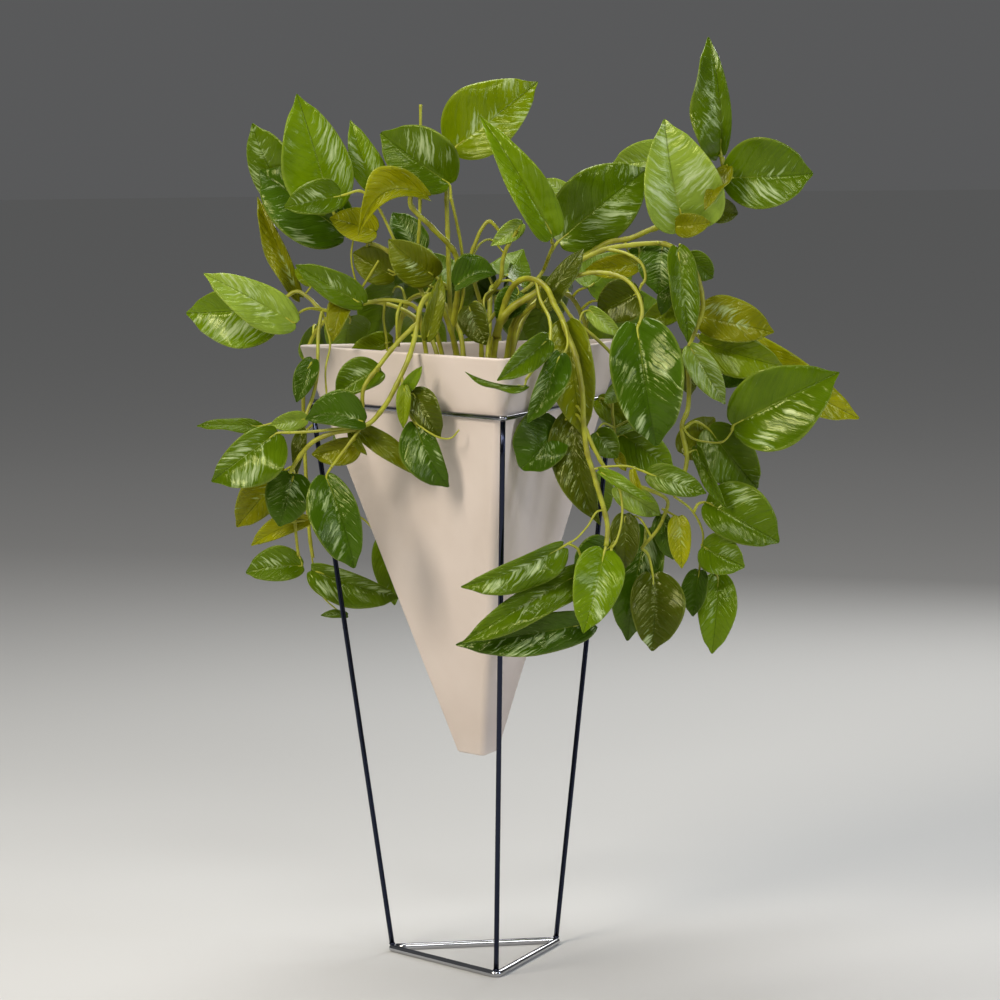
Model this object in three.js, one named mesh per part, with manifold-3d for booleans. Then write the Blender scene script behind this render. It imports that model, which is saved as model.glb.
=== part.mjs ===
// A golden pothos in a three-sided tapering ceramic pot, held in a tall stand of round steel rod.
// Millimetres, +Z up. While it is being built the stand's own axis is at x = y = 0, the floor is z = 0
// and -Y is the side that the plant is usually seen from. The last lines centre the whole on its box.
import * as THREE from "three";
import { mergeVertices } from "three/addons/utils/BufferGeometryUtils.js";
import Module from "manifold-3d";

const wasm = await Module();
wasm.setup();

// Driving dimensions
const CLEARANCE = 0.3;
const TURN = THREE.MathUtils.degToRad(8.4);
const CORNERS = [150, 270, 30].map((degrees) => THREE.MathUtils.degToRad(degrees) + TURN);

const RIM_Z = 750;
const TIP_Z = 254;
const RIM_INRADIUS = 121.5;
const TIP_INRADIUS = 17;
const RIM_CORNER = 12;
const TIP_CORNER = 7;
const WALL = 8;
const FLOOR_THICKNESS = 14;
const CORNER_STEPS = 4;
const BEND_STEPS = 2;

const ROD = 3.1;
const BASE_ROD = 4.3;
const ROD_SIDES = 12;
const BEND_GAP = 0.6;
const RING_Z = 680;
const BASE_REACH = 118.2;

const SOIL_Z = 725;
const HOLE_DEPTH = 12;
const PEG_HEIGHT = 7;
const PEG_SIDES = 8;

const BLADE_THICKNESS = 1;
const LOBE = 0.1;
const OUTLINE = [0.44, 0.74];
const SHORT_PETIOLE = 3;
const END_GAP = 6;
const EYE = new THREE.Vector3(0, -4950, 1050);

const TONES = {
  deep: 0x2c5c14,
  mid: 0x487a16,
  lime: 0x82a61c,
  olive: 0x666d14,
  yellow: 0x9a9414,
  pale: 0x93ae58,
};

// A fraction between 0 and 1 that is spread evenly over the whole numbers i.
function spread(i, step) {
  return (i * step) % 1;
}

// A closed geometry from points and triangles.
function geometryOf(points, triangles) {
  const geometry = new THREE.BufferGeometry();
  geometry.setAttribute("position", new THREE.Float32BufferAttribute(points.flatMap((p) => p.toArray()), 3));
  geometry.setIndex(triangles.flat());
  return geometry;
}

// A geometry as a solid that can be joined and cut.
function solidOf(geometry) {
  const bare = geometry.clone();
  bare.deleteAttribute("normal");
  bare.deleteAttribute("uv");
  const merged = mergeVertices(bare, 1e-4);
  const mesh = new wasm.Mesh({
    numProp: 3,
    vertProperties: merged.attributes.position.array,
    triVerts: new Uint32Array(merged.index.array),
  });
  return new wasm.Manifold(mesh);
}

function joined(geometries) {
  return geometries.map(solidOf).reduce((whole, piece) => whole.add(piece));
}

// A solid as a named mesh.
function meshOf(name, solid, look) {
  const { vertProperties, triVerts } = solid.getMesh();
  const geometry = new THREE.BufferGeometry();
  geometry.setAttribute("position", new THREE.BufferAttribute(vertProperties, 3));
  geometry.setIndex(new THREE.BufferAttribute(triVerts, 1));
  geometry.computeVertexNormals();
  const mesh = new THREE.Mesh(geometry, new THREE.MeshStandardMaterial(look));
  mesh.name = name;
  return mesh;
}

// A skin over rings of equally many points, from the first ring up to the last, closed at both ends.
function loft(rings) {
  const count = rings[0].length;
  const points = rings.flat();
  const triangles = [];
  for (let k = 0; k + 1 < rings.length; k++) {
    for (let i = 0; i < count; i++) {
      const a = k * count + i;
      const b = k * count + ((i + 1) % count);
      triangles.push([a, b, b + count], [a, b + count, a + count]);
    }
  }
  [0, rings.length - 1].forEach((k, end) => {
    const hub = points.length;
    const centre = rings[k].reduce((sum, p) => sum.add(p), new THREE.Vector3()).divideScalar(count);
    points.push(centre);
    for (let i = 0; i < count; i++) {
      const a = k * count + i;
      const b = k * count + ((i + 1) % count);
      triangles.push(end ? [a, b, hub] : [b, a, hub]);
    }
  });
  return geometryOf(points, triangles);
}

function disc(x, y, z, radius, sides) {
  const points = [];
  for (let i = 0; i < sides; i++) {
    const turn = (i / sides) * 2 * Math.PI;
    points.push(new THREE.Vector3(x + radius * Math.cos(turn), y + radius * Math.sin(turn), z));
  }
  return points;
}

// A triangle with the given inscribed radius and round corners, as points with their outward directions.
function roundTriangle(inradius, corner, steps) {
  const places = [];
  CORNERS.forEach((angle) => {
    const reach = 2 * (inradius - corner);
    for (let i = 0; i <= steps; i++) {
      const turn = angle + THREE.MathUtils.degToRad(-60 + (120 * i) / steps);
      const out = new THREE.Vector3(Math.cos(turn), Math.sin(turn), 0);
      const place = new THREE.Vector3(reach * Math.cos(angle), reach * Math.sin(angle), 0);
      places.push({ place: place.addScaledVector(out, corner), out });
    }
  });
  return places;
}

// The pot
function potShare(z) {
  return (z - TIP_Z) / (RIM_Z - TIP_Z);
}

function potInradius(z) {
  return TIP_INRADIUS + (RIM_INRADIUS - TIP_INRADIUS) * potShare(z);
}

function potRing(z, inset, scale = 1) {
  const corner = TIP_CORNER + (RIM_CORNER - TIP_CORNER) * potShare(z) - inset;
  const ring = roundTriangle(potInradius(z) - inset, Math.max(corner, 3), CORNER_STEPS);
  return ring.map(({ place }) => place.multiplyScalar(scale).setZ(z));
}

function pot() {
  const lip = 3;
  const soft = 0.3 * lip;
  const profile = [
    [TIP_Z, lip],
    [TIP_Z + soft, soft],
    [TIP_Z + lip, 0],
    [RIM_Z - lip, 0],
    [RIM_Z - soft, soft],
    [RIM_Z, lip],
    [RIM_Z, WALL - lip],
    [RIM_Z - soft, WALL - soft],
    [RIM_Z - lip, WALL],
    [TIP_Z + FLOOR_THICKNESS, WALL],
  ];
  const geometry = loft(profile.map(([z, inset]) => potRing(z, inset)));
  return meshOf("pot", solidOf(geometry), { color: 0xd8cabb, roughness: 0.55, metalness: 0 });
}

// The stand: two triangles of bent rod and three straight legs
const flatHalf = Math.cos(Math.PI / ROD_SIDES);
const potSlope = (RIM_INRADIUS - TIP_INRADIUS) / (RIM_Z - TIP_Z);
const ringInradius = potInradius(RING_Z) + (ROD + CLEARANCE) * Math.hypot(1, potSlope);
const ringReach = 2 * ringInradius - ROD - BEND_GAP;
const baseInradius = (BASE_REACH + BASE_ROD + BEND_GAP) / 2;
const baseZ = BASE_ROD * flatHalf;

function rodLoop(name, inradius, z, radius) {
  const places = roundTriangle(inradius, radius + BEND_GAP, BEND_STEPS);
  const points = [];
  const triangles = [];
  places.forEach(({ place, out }, k) => {
    for (let i = 0; i < ROD_SIDES; i++) {
      const turn = ((i + 0.5) / ROD_SIDES) * 2 * Math.PI;
      const point = place.clone().addScaledVector(out, radius * Math.cos(turn));
      points.push(point.setZ(z + radius * Math.sin(turn)));
      const a = k * ROD_SIDES + i;
      const b = k * ROD_SIDES + ((i + 1) % ROD_SIDES);
      const ahead = ((k + 1) % places.length) * ROD_SIDES;
      const c = ahead + i;
      const d = ahead + ((i + 1) % ROD_SIDES);
      triangles.push([a, c, d], [a, d, b]);
    }
  });
  const look = { color: 0x55555c, roughness: 0.15, metalness: 1 };
  return meshOf(name, solidOf(geometryOf(points, triangles)), look);
}

// A leg leans out from the base triangle's corner up to the upper triangle's corner.
function leg(name, angle) {
  const ends = [2 * baseZ + CLEARANCE, RING_Z - ROD * flatHalf - CLEARANCE];
  const rings = ends.map((z) => {
    const reach = BASE_REACH + ((ringReach - BASE_REACH) * (z - baseZ)) / (RING_Z - baseZ);
    return disc(reach * Math.cos(angle), reach * Math.sin(angle), z, ROD, ROD_SIDES);
  });
  return meshOf(name, solidOf(loft(rings)), { color: 0x2a2b33, roughness: 0.15, metalness: 1 });
}

// The soil: it fills the pot, lies a little higher in the middle and is lumpy on top
function soilHeight(x, y) {
  const mound = 6 * (1 - (x * x + y * y) / 110 ** 2);
  return SOIL_Z + mound + 2 * Math.sin(x / 9 + 1.3) * Math.cos(y / 11) + 1.5 * Math.sin((x + y) / 6.1);
}

function soil(vines) {
  const inset = WALL + CLEARANCE;
  const rings = [potRing(TIP_Z + FLOOR_THICKNESS + CLEARANCE, inset), potRing(SOIL_Z - 4, inset)];
  [0.94, 0.76, 0.56, 0.36, 0.18].forEach((scale) => {
    rings.push(potRing(SOIL_Z, inset, scale).map((p) => p.setZ(soilHeight(p.x, p.y))));
  });
  let solid = solidOf(loft(rings));
  vines.forEach(({ root: [x, y], stems: [{ r }] }) => {
    const top = soilHeight(x, y);
    const bore = loft([top - HOLE_DEPTH, top + 20].map((z) => disc(x, y, z, r + CLEARANCE, PEG_SIDES)));
    solid = solid.subtract(solidOf(bore));
  });
  return meshOf("soil", solid, { color: 0x2b1d14, roughness: 1, metalness: 0 });
}

// The plant. A place is given as it is seen from the front: x and z where the sight line from the eye meets
// the plane y = 0, and how far the place lies from that plane towards the eye.
function seen([x, z, toward]) {
  const share = (-EYE.y - toward) / -EYE.y;
  return new THREE.Vector3(x * share, -toward, EYE.z + (z - EYE.z) * share);
}

// A stem along a smooth curve through its points, with more sides where it is thick.
function tube({ curve, steps, radius }) {
  const sides = 3 + Math.min(3, Math.floor(radius / 1.45));
  const section = new THREE.Shape(disc(0, 0, 0, radius, sides).map((p) => new THREE.Vector2(p.x, p.y)));
  return new THREE.ExtrudeGeometry(section, { steps, extrudePath: curve, bevelEnabled: false });
}

// The smooth curve of a stem and the number of straight pieces that it is drawn in.
function stemCurve(points, radius) {
  const curve = new THREE.CatmullRomCurve3(points, false, "centripetal");
  const steps = Math.max(2, Math.round(curve.getLength() / (22 + 3 * radius)));
  const joints = curve.getSpacedPoints(steps);
  const middles = joints.slice(1).map((p, k) => p.clone().add(joints[k]).multiplyScalar(0.5));
  return { curve, steps, radius, axis: [...joints, ...middles] };
}

// Half the width of a heart-shaped blade at the share s of its whole length, 1 at its widest.
function halfWidth(s, [basePower, tipPower]) {
  const shape = (q) => q ** basePower * (1 - q) ** tipPower;
  return shape(s) / shape(basePower / (basePower + tipPower));
}

// One leaf: its blade's own directions, worked out from its two ends and its turn about the midrib. The form
// sets the outline's powers, the lobes, the fold and bow, how much wider the left half is than the right one
// (skew) and how far the midrib bends sideways as a share of the length (sway), where they aren't the usual.
function leafFrame([bx, bz, bt, tx, tz, tt, width, turn, , form], i) {
  const base = seen([bx, bz, bt]);
  const tip = seen([tx, tz, tt]);
  const along = tip.clone().sub(base);
  const length = along.length();
  along.divideScalar(length);
  const sight = EYE.clone().sub(base);
  const facing = sight.addScaledVector(along, -sight.dot(along)).normalize();
  const beside = along.clone().cross(facing);
  const angle = THREE.MathUtils.degToRad(turn);
  const normal = facing.multiplyScalar(Math.cos(angle)).addScaledVector(beside, Math.sin(angle));
  const across = normal.clone().cross(along);
  const fold = Math.tan(THREE.MathUtils.degToRad(12 + 14 * spread(i, 0.618)));
  const usual = { fold, bow: 0.05 + 0.08 * spread(i, 0.414), shape: OUTLINE, lobe: LOBE, skew: 0, sway: 0 };
  const phase = 6.283 * spread(i, 0.732);
  return { base, tip, along, across, normal, length, width, phase, ...usual, ...form };
}

// A point of the blade: s along it from lobe to tip, v across it from -1 to 1.
function bladePoint(leaf, s, v) {
  const x = v * halfWidth(s, leaf.shape) * (1 + leaf.skew * v);
  const notch = leaf.lobe * Math.max(0, 1 - Math.abs(x) / 0.3) ** 2 * Math.max(0, 1 - s / 0.3);
  const y = -leaf.lobe + s * (1 + leaf.lobe) + notch;
  const half = leaf.width / 2;
  const arch = leaf.length * 4 * y * (1 - y);
  const wave = 0.045 * leaf.length * Math.sin(9 * s + leaf.phase + 1.2 * v) * x * x;
  const z = Math.abs(x) * half * leaf.fold + leaf.bow * arch + wave;
  return leaf.base
    .clone()
    .addScaledVector(leaf.across, x * half + leaf.sway * arch)
    .addScaledVector(leaf.along, y * leaf.length)
    .addScaledVector(leaf.normal, z);
}

function stationsFor(length) {
  if (length > 105) return [0.03, 0.17, 0.48, 0.82];
  if (length > 52) return [0.04, 0.3, 0.74];
  return [0.07, 0.58];
}

// Four points round a petiole: left, top, right and bottom of it, where it runs in the given direction.
function petioleRing(place, direction, normal, radius) {
  const top = normal.clone().addScaledVector(direction, -normal.dot(direction)).normalize();
  const side = top.clone().cross(direction);
  return [[side, -1], [top, 1], [side, 1], [top, -1]].map(([way, sign]) =>
    place.clone().addScaledVector(way, sign * radius),
  );
}

// Where the petiole leaves the nearest stem, and the middle of its bow up and over to the blade.
function petiolePath({ base, along, length }, axes) {
  const start = axes.reduce((best, p) => (p.distanceTo(base) < best.distanceTo(base) ? p : best));
  const gap = start.distanceTo(base);
  if (gap < SHORT_PETIOLE) return [base.clone().addScaledVector(along, -SHORT_PETIOLE)];
  const middle = start.clone().add(base).multiplyScalar(0.5).addScaledVector(along, -0.14 * gap);
  middle.z += 0.16 * gap;
  return gap < 0.4 * length && gap < 20 ? [start] : [start, middle];
}

// One leaf as one skin: the petiole, the blade's two faces with their edge between them, and the tip.
function leafGeometry(leaf, axes) {
  const { base, along, normal, width, length } = leaf;
  const path = [...petiolePath(leaf, axes), base];
  const radius = 1.15 + 0.008 * width;
  const points = [];
  const triangles = [[0, 1, 2], [0, 2, 3]];
  path.forEach((place, k) => {
    const end = k === path.length - 1;
    const direction = end ? along : path[k + 1].clone().sub(place).normalize();
    points.push(...petioleRing(place, direction, normal, radius));
    if (end) return;
    for (let i = 0; i < 4; i++) {
      const a = 4 * k + i;
      const b = 4 * k + ((i + 1) % 4);
      triangles.push([a, a + 4, b + 4], [a, b + 4, b]);
    }
  });
  const [left, top, right, bottom] = [4, 3, 2, 1].map((back) => points.length - back);
  const half = BLADE_THICKNESS / 2;
  const stations = stationsFor(length);
  const first = points.length;
  stations.forEach((s) => {
    const row = [-1, 0, 1].map((v) => bladePoint(leaf, s, v));
    points.push(...row.map((p) => p.clone().addScaledVector(normal, half)));
    points.push(...row.map((p) => p.addScaledVector(normal, -half)));
  });
  const tip = points.length;
  points.push(...[half, -half].map((h) => leaf.tip.clone().addScaledVector(normal, h)));
  const [a, b, c, d, e, f] = [0, 1, 2, 3, 4, 5].map((i) => first + i);
  triangles.push([left, a, b], [left, b, top], [top, b, c], [top, c, right], [right, c, f]);
  triangles.push([left, e, d], [left, bottom, e], [bottom, f, e], [bottom, right, f], [left, d, a]);
  for (let k = 0; k + 1 < stations.length; k++) {
    const [lt, mt, rt, lb, mb, rb] = [0, 1, 2, 3, 4, 5].map((i) => first + 6 * k + i);
    triangles.push([lt, lt + 6, mt], [mt, lt + 6, mt + 6], [mt, rt + 6, rt], [mt, mt + 6, rt + 6]);
    triangles.push([lb, mb, lb + 6], [mb, mb + 6, lb + 6], [mb, rb, rb + 6], [mb, rb + 6, mb + 6]);
    triangles.push([lb, lb + 6, lt + 6], [lb, lt + 6, lt], [rb, rt, rt + 6], [rb, rt + 6, rb + 6]);
  }
  const [lt, mt, rt, lb, mb, rb] = [0, 1, 2, 3, 4, 5].map((i) => first + 6 * (stations.length - 1) + i);
  triangles.push([lt, tip, mt], [mt, tip, rt], [lb, mb, tip + 1], [mb, rb, tip + 1]);
  triangles.push([lb, tip + 1, tip], [lb, tip, lt], [rb, rt, tip], [rb, tip, tip + 1]);
  return geometryOf(points, triangles);
}

// The places of a stem. Where a leaf sits on its end, it stops a little short and the petiole takes over.
function stemPath(at, leaves) {
  const places = at.map(seen);
  const [before, end] = places.slice(-2);
  const leaf = leaves.find(({ base }) => base.distanceTo(end) < END_GAP);
  if (leaf) {
    const back = Math.min(4 + 0.09 * leaf.length, 0.7 * before.distanceTo(end));
    end.addScaledVector(before.clone().sub(end).normalize(), back);
  }
  return places;
}

function vine({ name, root: [x, y], stems, leaves: rows }, firstLeaf) {
  const top = soilHeight(x, y);
  const leaves = rows.map((row, k) => leafFrame(row, firstLeaf + k));
  const curves = stems.map(({ r, at }, k) => {
    const start = k ? [] : [new THREE.Vector3(x, y, top + PEG_HEIGHT - 4)];
    return stemCurve([...start, ...stemPath(at, leaves)], r);
  });
  const pieces = [];
  const pegEnds = [top - HOLE_DEPTH + CLEARANCE, top + PEG_HEIGHT];
  pieces.push(loft(pegEnds.map((z) => disc(x, y, z, stems[0].r, PEG_SIDES))));
  pieces.push(...curves.map(tube));
  const axes = curves.flatMap(({ axis }) => axis);
  leaves.forEach((leaf) => pieces.push(leafGeometry(leaf, axes)));
  const tone = new THREE.Color(0, 0, 0);
  rows.forEach((row) => tone.add(new THREE.Color(TONES[row[8]]).multiplyScalar(1 / rows.length)));
  const look = { color: tone, roughness: 0.35, metalness: 0, side: THREE.DoubleSide };
  return meshOf(name, joined(pieces), look);
}

// Each stem: its radius and the places it runs through. Each leaf: where its blade joins the petiole, where
// its tip is, its width, its turn about the midrib in degrees, its tone and, where it is unusual, its form.
const VINES = [
  {
    name: "vine_upper_left",
    root: [-38, -8],
    stems: [
      {
        r: 2.9,
        at: [[-48, 775, 12], [-62, 815, 18], [-84, 850, 24], [-108, 870, 26], [-134, 881, 24],
          [-152, 893, 22],
          [-166, 908, 20], [-172, 925, 20]],
      },
      {
        r: 1.9,
        at: [[-134, 881, 24], [-152, 888, 4], [-170, 898, -16], [-192, 916, -30],
          [-213, 930, -38]],
      },
      {
        r: 1.9,
        at: [[-84, 850, 24], [-100, 890, 40], [-118, 925, 50], [-136, 940, 56],
          [-163, 934, 60]],
      },
    ],
    leaves: [
      [-172, 925, 20, -211, 1058, 45, 84, 6, "lime", {skew: 0.12, shape: [0.58, 0.92]}],
      [-215, 930, -38, -265, 1023, -20, 68, -18, "mid",
        {skew: -0.26, sway: 0.05, shape: [0.5, 0.8]}],
      [-160, 893, -5, -257, 966, -20, 86, 8, "deep", {skew: 0.08, sway: 0.02, shape: [0.5, 0.75]}],
      [-162, 934, 60, -229, 921, 75, 43, 10, "mid", {skew: -0.08, lobe: 0.06}],
      [-118, 945, 5, -147, 1026, 15, 40, 14, "mid", {sway: 0.05, shape: [0.5, 0.9]}],
      [-120, 892, 34, -174, 908, 38, 42, 15, "yellow"],
      [-98, 838, 0, -146, 866, -10, 46, -10, "olive", {skew: -0.14, shape: [0.5, 0.7]}],
    ],
  },
  {
    name: "vine_crown_left",
    root: [-22, 20],
    stems: [
      {
        r: 3.1,
        at: [[-28, 770, -14], [-30, 820, -12], [-31, 880, -10], [-32, 940, -14],
          [-30, 968, -18], [-21, 990, -23]],
      },
      {
        r: 2.2,
        at: [[-30, 820, -12], [-52, 842, -6], [-66, 862, -2], [-65, 900, 0],
          [-63, 960, 0], [-62, 1043, -4]],
      },
      {
        r: 3.6,
        at: [[-28, 770, -14], [-20, 820, 6], [-22, 862, 24], [-50, 895, 44],
          [-76, 925, 60], [-66, 952, 70]],
      },
      { r: 1.4, at: [[-30, 820, -12], [-50, 823, 4], [-76, 832, 14], [-104, 845, 18]] },
      { r: 2.2, at: [[-28, 770, -14], [-14, 810, 0], [-14, 862, 6], [-20, 900, 12], [-30, 945, 20]] },
    ],
    leaves: [
      [-60, 935, 72, -139, 886, 96, 47, -20, "yellow",
        {skew: -0.56, sway: -0.36, fold: 0.55, bow: 0.16}],
      [-29, 948, 20, -111, 1010, 30, 79, -10, "deep",
        {skew: -0.23, shape: [0.6, 0.74], lobe: 0.06}],
      [-20, 992, -24, 80, 1069, -40, 86, -8, "olive",
        {skew: 0.14, sway: -0.02, lobe: 0.07, shape: [0.5, 0.95]}],
      [-68, 866, -16, -98, 914, -30, 44, 20, "deep"],
      [-50, 838, 30, -103, 882, 44, 52, -15, "olive"],
    ],
  },
  {
    name: "vine_centre",
    root: [8, -2],
    stems: [
      {
        r: 2.9,
        at: [[8, 770, 10], [8, 800, 20], [20, 815, 30], [32, 832, 40], [35, 855, 46],
          [41, 872, 52], [49, 884, 50],
          [56, 896, 43]],
      },
      {
        r: 2.6,
        at: [[8, 770, 10], [34, 800, 4], [66, 822, 0], [84, 842, -4], [92, 862, -6],
          [101, 876, -6]],
      },
      {
        r: 2.6,
        at: [[8, 800, 20], [-4, 855, 30], [3, 878, 33], [10, 893, 34], [19, 902, 34],
          [33, 888, 34]],
      },
      { r: 2.2, at: [[84, 842, -4], [91, 860, 18], [96, 874, 40], [90, 884, 55]] },
      { r: 1.3, at: [[24, 820, 34], [13, 812, 44], [12, 795, 50], [17, 772, 54]] },
      { r: 1.5, at: [[-4, 855, 30], [8, 875, 24], [20, 880, 20], [38, 862, 18]] },
    ],
    leaves: [
      [94, 886, 58, 8, 1030, 50, 49, 10, "lime",
        {skew: 0.04, sway: 0.0, shape: [0.3, 0.9], lobe: 0.04, fold: 0.7}],
      [104, 878, -8, 212, 964, -26, 93, 6, "deep",
        {skew: 0.08, sway: 0.02, shape: [0.6, 0.86], lobe: 0.05}],
      [58, 898, 40, 20, 872, 50, 24, 0, "pale", {shape: [0.6, 0.9]}],
      [120, 925, -50, 88, 953, -56, 26, 0, "pale"],
      [-20, 826, 56, 28, 838, 44, 36, -12, "mid",
        {skew: 0.47, sway: 0.1, lobe: 0.14, shape: [0.4, 0.7]}],
      [54, 815, 34, 26, 784, 36, 38, 0, "deep"],
      [-6, 798, 68, 14, 752, 80, 38, 15, "deep"],
    ],
  },
  {
    name: "vine_top_right",
    root: [20, 18],
    stems: [
      {
        r: 3.8,
        at: [[26, 768, -8], [42, 790, -6], [64, 806, -4], [92, 828, -2], [120, 850, 2],
          [145, 865, 6], [163, 875, 10],
          [188, 879, 12], [215, 890, 14], [251, 900, 14], [281, 917, 8], [295, 935, 2], [303, 953, -2],
          [301, 972, -6], [298, 985, -8]],
      },
    ],
    leaves: [
      [299, 985, -8, 285, 1121, 5, 52, 18, "deep", {skew: 0.54}],
      [251, 904, 30, 231, 1023, 42, 96, 8, "pale",
        {skew: -0.16, sway: 0.03, shape: [0.36, 0.8], fold: 0.4, lobe: 0.16}],
      [240, 975, -50, 167, 968, -62, 52, 0, "pale"],
      [305, 962, 24, 279, 912, 50, 25, 26, "yellow", {skew: 0.22}],
      [283, 915, 12, 320, 908, 4, 32, 0, "olive"],
      [246, 893, 34, 287, 898, 44, 30, 0, "olive"],
      [304, 951, 12, 411, 955, 20, 87, 4, "mid", {skew: 0.12, shape: [0.6, 0.8], lobe: 0.05}],
    ],
  },
  {
    name: "vine_arch_right",
    root: [38, -4],
    stems: [
      {
        r: 3.3,
        at: [[46, 775, 16], [62, 800, 28], [96, 832, 34], [130, 854, 36], [160, 867, 36],
          [188, 871, 36], [210, 873, 38],
          [232, 872, 42], [255, 858, 48], [268, 838, 52], [275, 812, 55], [276, 792, 56], [269, 772, 56],
          [258, 742, 56], [259, 700, 60], [257, 670, 64], [250, 652, 68], [256, 612, 74], [250, 586, 78],
          [240, 566, 82]],
      },
      {
        r: 2.1,
        at: [[160, 867, 36], [185, 861, 48], [203, 848, 58], [207, 830, 62],
          [197, 815, 62]],
      },
      {
        r: 1.5,
        at: [[269, 772, 56], [258, 770, 34], [262, 765, 4], [288, 758, -30],
          [314, 752, -44]],
      },
      {
        r: 1.3,
        at: [[250, 652, 68], [262, 637, 84], [280, 632, 92], [300, 632, 98],
          [311, 645, 98], [313, 652, 94]],
      },
      {
        r: 1.5,
        at: [[240, 566, 82], [262, 548, 66], [275, 520, 60], [272, 495, 58],
          [270, 472, 60]],
      },
    ],
    leaves: [
      [196, 848, 8, 134, 842, 4, 30, 0, "lime"],
      [197, 813, 62, 148, 790, 50, 54, 0, "olive"],
      [228, 870, 22, 222, 811, 34, 51, 8, "deep", {skew: -0.05, shape: [0.5, 0.75]}],
      [190, 860, -6, 240, 856, -12, 24, 0, "olive"],
      [247, 862, 62, 258, 752, 68, 38, -12, "mid"],
      [240, 822, 2, 226, 786, -8, 22, 20, "deep"],
      [246, 796, -16, 204, 778, -24, 32, 0, "olive"],
      [258, 856, -4, 289, 830, -14, 34, 0, "mid"],
      [272, 784, 36, 363, 764, 34, 56, -8, "olive", {skew: 0.11, shape: [0.46, 0.8], lobe: 0.05}],
      [278, 752, 14, 374, 722, 6, 54, 10, "lime"],
      [318, 753, -44, 466, 658, -66, 59, -8, "yellow", {skew: -0.11, sway: -0.04}],
      [262, 745, 76, 303, 677, 90, 36, -6, "pale", {skew: -0.11, shape: [0.5, 0.75]}],
      [252, 742, 40, 261, 688, 32, 30, 0, "olive"],
      [335, 728, -16, 296, 698, -12, 32, 0, "deep"],
      [313, 652, 94, 442, 715, 108, 97, -6, "mid", {skew: -0.15, shape: [0.56, 0.92], lobe: 0.04}],
      [253, 620, 44, 290, 662, 34, 45, 0, "olive", {skew: -0.04}],
      [286, 644, 52, 342, 574, 44, 66, 10, "olive"],
      [268, 622, 72, 304, 550, 84, 18, 20, "yellow"],
      [280, 558, 64, 368, 508, 72, 71, -6, "mid", {skew: 0.18, shape: [0.44, 0.72], lobe: 0.04}],
      [277, 503, 62, 326, 478, 72, 50, 0, "lime"],
      [270, 472, 62, 262, 418, 66, 34, 20, "deep"],
      [293, 464, 42, 285, 372, 46, 48, -8, "lime"],
    ],
  },
  {
    name: "vine_mid_right",
    root: [44, -26],
    stems: [
      {
        r: 2.8,
        at: [[52, 780, 36], [72, 800, 54], [96, 818, 66], [118, 832, 74], [138, 838, 82],
          [160, 838, 92],
          [183, 830, 106], [198, 812, 118], [203, 790, 126], [200, 777, 130], [196, 770, 132]],
      },
      {
        r: 2.2,
        at: [[96, 818, 66], [110, 796, 84], [120, 782, 98], [132, 772, 106], [150, 756, 112],
          [165, 740, 115],
          [175, 720, 115], [172, 702, 112], [166, 680, 106], [168, 650, 100], [172, 620, 96]],
      },
    ],
    leaves: [
      [197, 770, 132, 219, 627, 152, 87, 4, "deep", {skew: 0.13, shape: [0.48, 0.66]}],
      [82, 800, 84, 133, 868, 70, 31, -16, "olive", {skew: -0.21}],
      [140, 793, 96, 178, 762, 100, 22, 10, "pale"],
      [150, 684, 84, 186, 653, 86, 30, 0, "olive"],
      [178, 700, 119, 156, 680, 128, 22, 0, "pale"],
      [147, 644, 122, 172, 613, 128, 34, 0, "deep"],
      [178, 642, 84, 240, 600, 86, 52, 10, "deep"],
      [200, 654, 100, 168, 640, 106, 12, 20, "pale"],
      [172, 618, 97, 182, 597, 104, 14, 10, "yellow"],
    ],
  },
  {
    name: "vine_front_right",
    root: [22, -32],
    stems: [
      {
        r: 3.6,
        at: [[28, 770, 44], [38, 806, 54], [46, 822, 64], [60, 832, 82], [75, 830, 100],
          [88, 820, 118], [97, 800, 134],
          [105, 785, 144], [112, 765, 154], [120, 745, 161], [126, 720, 167], [130, 690, 172],
          [131, 655, 176],
          [135, 620, 180], [141, 600, 183], [148, 575, 187], [155, 550, 191], [159, 530, 194],
          [158, 513, 197],
          [155, 493, 200]],
      },
      {
        r: 2.4,
        at: [[131, 655, 176], [145, 622, 180], [160, 598, 178], [185, 583, 172],
          [208, 575, 166], [232, 561, 160],
          [229, 545, 156], [220, 526, 152], [200, 503, 146]],
      },
      { r: 1.5, at: [[141, 600, 183], [160, 603, 188], [185, 603, 190], [214, 593, 192]] },
      {
        r: 1.3,
        at: [[155, 550, 191], [146, 548, 197], [135, 531, 204], [120, 515, 210],
          [98, 502, 216]],
      },
      {
        r: 1.5,
        at: [[160, 598, 178], [173, 577, 184], [177, 555, 189], [175, 530, 194],
          [168, 509, 198], [155, 493, 200]],
      },
      {
        r: 2.1,
        at: [[75, 830, 100], [80, 806, 126], [90, 785, 150], [92, 765, 174],
          [88, 745, 196], [75, 728, 216], [56, 702, 236]],
      },
      { r: 5.0, at: [[26, 762, 42], [32, 782, 48], [46, 798, 54], [68, 811, 60], [84, 822, 62]] },
      {
        r: 1.7,
        at: [[105, 785, 144], [111, 768, 162], [112, 750, 178], [105, 737, 188],
          [98, 738, 194]],
      },
    ],
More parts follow.
